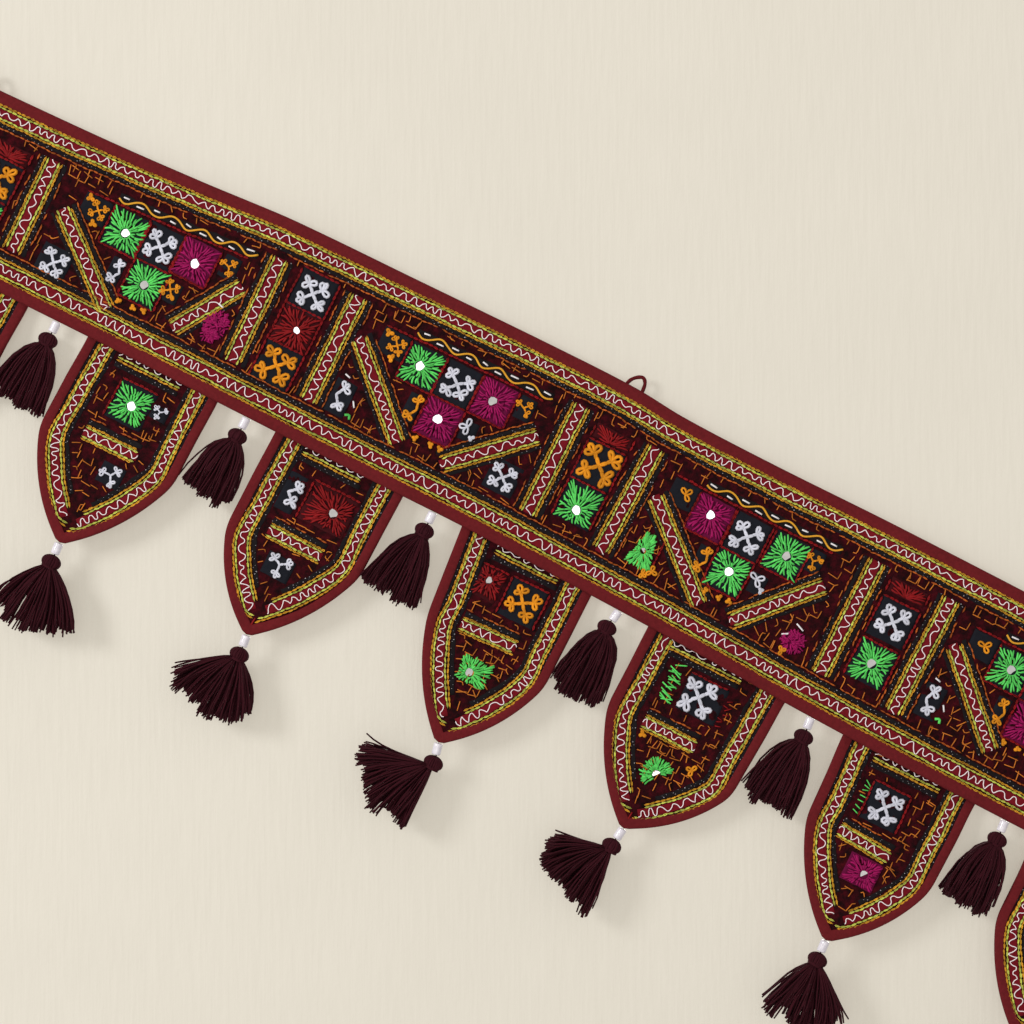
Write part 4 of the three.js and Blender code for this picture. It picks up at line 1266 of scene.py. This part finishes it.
class Material:
    """A node material with a Principled shader; its helpers add nodes and link them."""

    def __init__(self, name, settings):
        self.data = bpy.data.materials.new(name)
        self.data.use_nodes = True
        self.tree = self.data.node_tree
        self.shader = self.tree.nodes["Principled BSDF"]
        for key, value in settings.items():
            self.shader.inputs[key].default_value = value
        self.place = self.node("ShaderNodeTexCoord").outputs["Object"]

    def node(self, kind, **inputs):
        node = self.tree.nodes.new(kind)
        for key, value in inputs.items():
            self.put(node, key, value)
        return node

    def put(self, node, key, value):
        if isinstance(value, bpy.types.NodeSocket):
            self.tree.links.new(value, node.inputs[key])
        else:
            node.inputs[key].default_value = value

    def noise(self, scale, detail=3.0, rough=0.55, at=None):
        node = self.node("ShaderNodeTexNoise", Vector=at or self.place, Scale=scale, Detail=detail, Roughness=rough)
        return node.outputs["Fac"]

    def ramp(self, factor, stops):
        """A colour that goes with the factor, through (position, colour) or (position, grey) stops."""
        node = self.node("ShaderNodeValToRGB", Fac=factor)
        elements = node.color_ramp.elements
        while len(elements) < len(stops):
            elements.new(0.5)
        for element, (position, colour) in zip(elements, stops):
            element.position = position
            element.color = (colour, colour, colour, 1) if isinstance(colour, float) else colour
        return node.outputs["Color"]

    def mix(self, factor, a, b, kind="MIX"):
        node = self.tree.nodes.new("ShaderNodeMix")
        node.data_type, node.blend_type = "RGBA", kind
        for key, value in ((0, factor), (6, a), (7, b)):
            self.put(node, key, value)
        return node.outputs[2]

    def math(self, kind, a, b):
        node = self.tree.nodes.new("ShaderNodeMath")
        node.operation = kind
        self.put(node, 0, a)
        self.put(node, 1, b)
        return node.outputs[0]

    def wave(self, scale, axis):
        node = self.node("ShaderNodeTexWave", Vector=self.place, Scale=scale, Distortion=0.6)
        node.wave_type, node.bands_direction = "BANDS", axis
        node.inputs["Detail Scale"].default_value = 2.0
        return node.outputs["Fac"]

    def tone(self):
        """The tone that each thread was given."""
        node = self.tree.nodes.new("ShaderNodeAttribute")
        node.attribute_name = "tone"
        return node.outputs["Fac"]

    def colour(self, socket):
        self.tree.links.new(socket, self.shader.inputs["Base Color"])

    def bump(self, height, strength, distance):
        node = self.node("ShaderNodeBump", Height=height, Strength=strength, Distance=distance)
        self.tree.links.new(node.outputs["Normal"], self.shader.inputs["Normal"])


def tint(colour, factor):
    return tuple(min(1.0, c * factor) for c in colour[:3]) + (1.0,)


def thread(name, rgb, rough=0.6, sheen=0.0, vary=0.3, grain=0.7):
    base = linear(*rgb)
    m = Material(name, {"Roughness": rough, "Sheen Weight": sheen, "Sheen Roughness": 0.4,
                        "Sheen Tint": tint(base, 1.5), "Specular IOR Level": 0.15})
    by_stitch = m.mix(m.tone(), tint(base, 1 - vary), tint(base, 1 + vary))
    fine = m.ramp(m.noise(700, 2), [(0.3, 0.7), (0.6, 1.0)])
    m.colour(m.mix(grain, by_stitch, fine, "MULTIPLY"))
    m.bump(m.noise(2600, 2), 0.5, 0.0002)
    return m.data


def velvet():
    m = Material("wine_velvet", {"Roughness": 0.95, "Sheen Weight": 0.12, "Sheen Roughness": 0.3,
                                 "Sheen Tint": linear(160, 30, 45), "Specular IOR Level": 0.08})
    crushed = m.ramp(m.noise(190, 6, 0.66),
                     [(0.36, linear(24, 9, 11)), (0.52, linear(52, 9, 16)), (0.68, linear(76, 12, 22))])
    nap = m.ramp(m.noise(1100, 3), [(0.3, 0.6), (0.65, 1.0)])
    m.colour(m.mix(0.75, crushed, nap, "MULTIPLY"))
    m.bump(m.math("ADD", m.noise(1500, 3), m.noise(240, 3)), 0.6, 0.0005)
    return m.data


def cotton(name, rgb, weave=560, vary=0.18):
    base = linear(*rgb)
    m = Material(name, {"Roughness": 0.85, "Specular IOR Level": 0.12})
    faded = m.mix(m.noise(28, 4, 0.6), tint(base, 1 - vary), tint(base, 1 + vary))
    threads = m.math("MULTIPLY", m.wave(weave, "X"), m.wave(weave, "Z"))
    shade = m.ramp(threads, [(0.0, 0.78), (0.8, 1.12)])
    slub = m.ramp(m.noise(420, 3), [(0.3, 0.85), (0.7, 1.12)])
    m.colour(m.mix(1.0, m.mix(1.0, faded, shade, "MULTIPLY"), slub, "MULTIPLY"))
    m.bump(m.math("ADD", threads, m.noise(300, 3)), 0.35, 0.0003)
    return m.data


def mirror_glass():
    m = Material("sewn_mirror", {"Metallic": 1.0, "Roughness": 0.12})
    m.colour(m.ramp(m.noise(260, 3), [(0.3, (0.80, 0.80, 0.82, 1)), (0.65, (0.93, 0.93, 0.94, 1))]))
    m.bump(m.noise(180, 2), 0.12, 0.0004)
    return m.data


def bead_glaze():
    m = Material("white_bead", {"Roughness": 0.18, "Coat Weight": 0.6, "Coat Roughness": 0.08})
    m.colour(m.ramp(m.noise(300, 3), [(0.3, linear(212, 207, 220)), (0.7, linear(236, 232, 240))]))
    m.bump(m.noise(500, 2), 0.08, 0.0003)
    return m.data


def wall_paint():
    """A matt cream wall seen only from its front, so that a view from behind looks at the toran's back."""
    # a faint glow of its own stands for the bright room, and keeps the shadows light
    m = Material("cream_wall", {"Roughness": 0.95, "Specular IOR Level": 0.1,
                                "Emission Color": (1.0, 0.91, 0.745, 1), "Emission Strength": 0.38})
    turned = m.node("ShaderNodeMapping", Vector=m.place, Rotation=(0, -ROLL, 0), Scale=(1 / 330, 1, 1 / 24))
    turned.vector_type = "TEXTURE"
    grain = m.noise(1.0, 2, at=turned.outputs["Vector"])
    blend = m.math("ADD", m.math("MULTIPLY", m.noise(3.5, 4), 0.55), m.math("MULTIPLY", grain, 0.45))
    m.colour(m.ramp(blend, [(0.3, linear(164, 162, 156)), (0.7, linear(173, 171, 165))]))
    m.bump(m.math("ADD", m.noise(190, 4), m.math("MULTIPLY", grain, 1.2)), 0.25, 0.0012)
    nodes, link = m.tree.nodes, m.tree.links.new
    front = m.math("SUBTRACT", nodes.new("ShaderNodeLightPath").outputs["Is Camera Ray"],
                   nodes.new("ShaderNodeNewGeometry").outputs["Backfacing"])
    both = nodes.new("ShaderNodeMixShader")
    link(front, both.inputs[0])
    link(nodes.new("ShaderNodeBsdfTransparent").outputs[0], both.inputs[1])
    link(m.shader.outputs[0], both.inputs[2])
    link(both.outputs[0], nodes["Material Output"].inputs["Surface"])
    return m.data


MATERIALS = {
    "velvet": velvet(),
    "binding": cotton("maroon_cotton", (108, 28, 33)),
    "loop": cotton("maroon_cotton_loop", (100, 27, 31), weave=800),
    "crimson_ribbon": cotton("crimson_ribbon", (120, 18, 31), weave=900, vary=0.2),
    "black_strip": cotton("black_cotton", (27, 23, 26), weave=700, vary=0.3),
    "black_patches": cotton("slate_cotton", (27, 29, 37), weave=700, vary=0.3),
    "plum_patches": cotton("plum_cotton", (104, 13, 60), weave=700, vary=0.3),
    "garnet_patches": cotton("garnet_cotton", (66, 14, 20), weave=700, vary=0.3),
    "white_zigzag": thread("pale_thread", (255, 240, 243), vary=0.04, grain=0.25),
    "white_specks": thread("grey_thread", (160, 156, 162), vary=0.6),
    "lime_chain": thread("lime_thread", (208, 214, 98)),
    "gold_chain": thread("gold_thread", (222, 164, 50)),
    "orange_chain": thread("orange_thread", (184, 94, 36)),
    "orange_stitches": thread("amber_thread", (194, 112, 40)),
    "gold_waves": thread("gold_thread_wave", (224, 162, 48), vary=0.15),
    "red_chain": thread("red_thread", (140, 20, 24)),
    "green_flowers": thread("green_thread", (92, 212, 98), vary=0.25),
    "magenta_flowers": thread("magenta_thread", (152, 12, 86), vary=0.22),
    "red_flowers": thread("scarlet_thread", (132, 17, 21), vary=0.25),
    "gold_crosses": thread("saffron_thread", (224, 144, 28), vary=0.2),
    "white_crosses": thread("white_thread", (214, 216, 230), vary=0.12, grain=0.5),
    "white_dashes": thread("white_dash_thread", (238, 236, 240), vary=0.05),
    "mirrors": mirror_glass(),
    "yarn": thread("wine_yarn", (58, 15, 25), rough=0.9, sheen=0.1, vary=0.16),
    "bead": bead_glaze(),
}


# how a piece's name starts, its material, its slot, and the start of the node that it replaces
KINDS = [
    ("band_velvet", "velvet", "velvet", "band_cloth"),
    ("petal_velvet_", "velvet", "velvet", "petal_cloth_"),
    ("heading_binding", "binding", "binding", "binding_top"),
    ("lower_binding", "binding", "binding", "binding_bottom"),
    ("end_binding_", "binding", "binding", "binding_end_"),
    ("petal_edging_", "binding", "binding", "petal_binding_"),
    ("cloth_loop_", "loop", "binding", "hanging_loop_"),
    ("yarn_tassel_", "yarn", "yarn", "tassel_"),
    ("tube_bead_", "bead", "bead", "bead_"),
]
pieces = {}
for name, gathered in buckets.items():
    kind = [row for row in KINDS if name.startswith(row[0])]
    start, look, slot, node = kind[0] if kind else ("", name.split("_", 1)[1], "velvet", None)
    piece = gathered.build(name, MATERIALS[look], shade_smooth=look != "mirrors")
    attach(piece, "root")
    if node:
        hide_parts(node + name[len(start):])
    pieces[name] = piece

on_band = [p for n, p in pieces.items() if n.startswith("band_") and n != "band_velvet"]
on_band += [pieces[n] for n in ("heading_binding", "lower_binding", "end_binding_left", "end_binding_right")]

# Camera, wall and light
c, s = math.cos(ROLL), math.sin(ROLL)
camera_data = bpy.data.cameras.new("photo_camera")
camera_data.lens, camera_data.sensor_width = 85, 36
camera_data.clip_start, camera_data.clip_end = 0.05, 20
camera = bpy.data.objects.new("photo_camera", camera_data)
turned = Matrix(((c, -s, 0), (0, 0, -1), (s, c, 0))).to_4x4()
camera.matrix_world = Matrix.Translation((-0.0363, -1.644, -0.1134)) @ turned
bpy.context.scene.collection.objects.link(camera)
bpy.context.scene.camera = camera

WALL_Y = 0.013
wall_mesh = bpy.data.meshes.new("wall")
wall_mesh.from_pydata([(-2, WALL_Y, -1.6), (2, WALL_Y, -1.6), (2, WALL_Y, 1.4), (-2, WALL_Y, 1.4)], [], [(0, 1, 2, 3)])
wall_mesh.materials.append(wall_paint())
wall = bpy.data.objects.new("wall", wall_mesh)
bpy.context.scene.collection.objects.link(wall)


def area_light(name, place, aim, size, power, colour):
    light = bpy.data.lights.new(name, "AREA")
    light.shape, light.size, light.energy, light.color = "DISK", size, power, colour
    lamp = bpy.data.objects.new(name, light)
    lamp.location = place
    lamp.rotation_euler = (Vector(aim) - Vector(place)).to_track_quat("-Z", "Y").to_euler()
    bpy.context.scene.collection.objects.link(lamp)


area_light("key", (-2.6, -2.15, -0.25), (0, 0, -0.13), 1.1, 54, (1.0, 0.98, 0.95))
area_light("front_card", (-0.15, -2.6, -0.1), (0, 0, -0.1), 1.7, 9, (1.0, 1.0, 1.0))
area_light("back_fill", (0.6, 1.6, 0.5), (0, 0, -0.13), 1.2, 14, (1.0, 0.97, 0.93))
world = bpy.data.worlds.new("studio")
world.use_nodes = True
world.node_tree.nodes["Background"].inputs["Color"].default_value = (1.0, 0.955, 0.89, 1)
world.node_tree.nodes["Background"].inputs["Strength"].default_value = 0.60
bpy.context.scene.world = world
bpy.context.scene.view_settings.view_transform = "Standard"
bpy.context.scene.view_settings.look = "None"
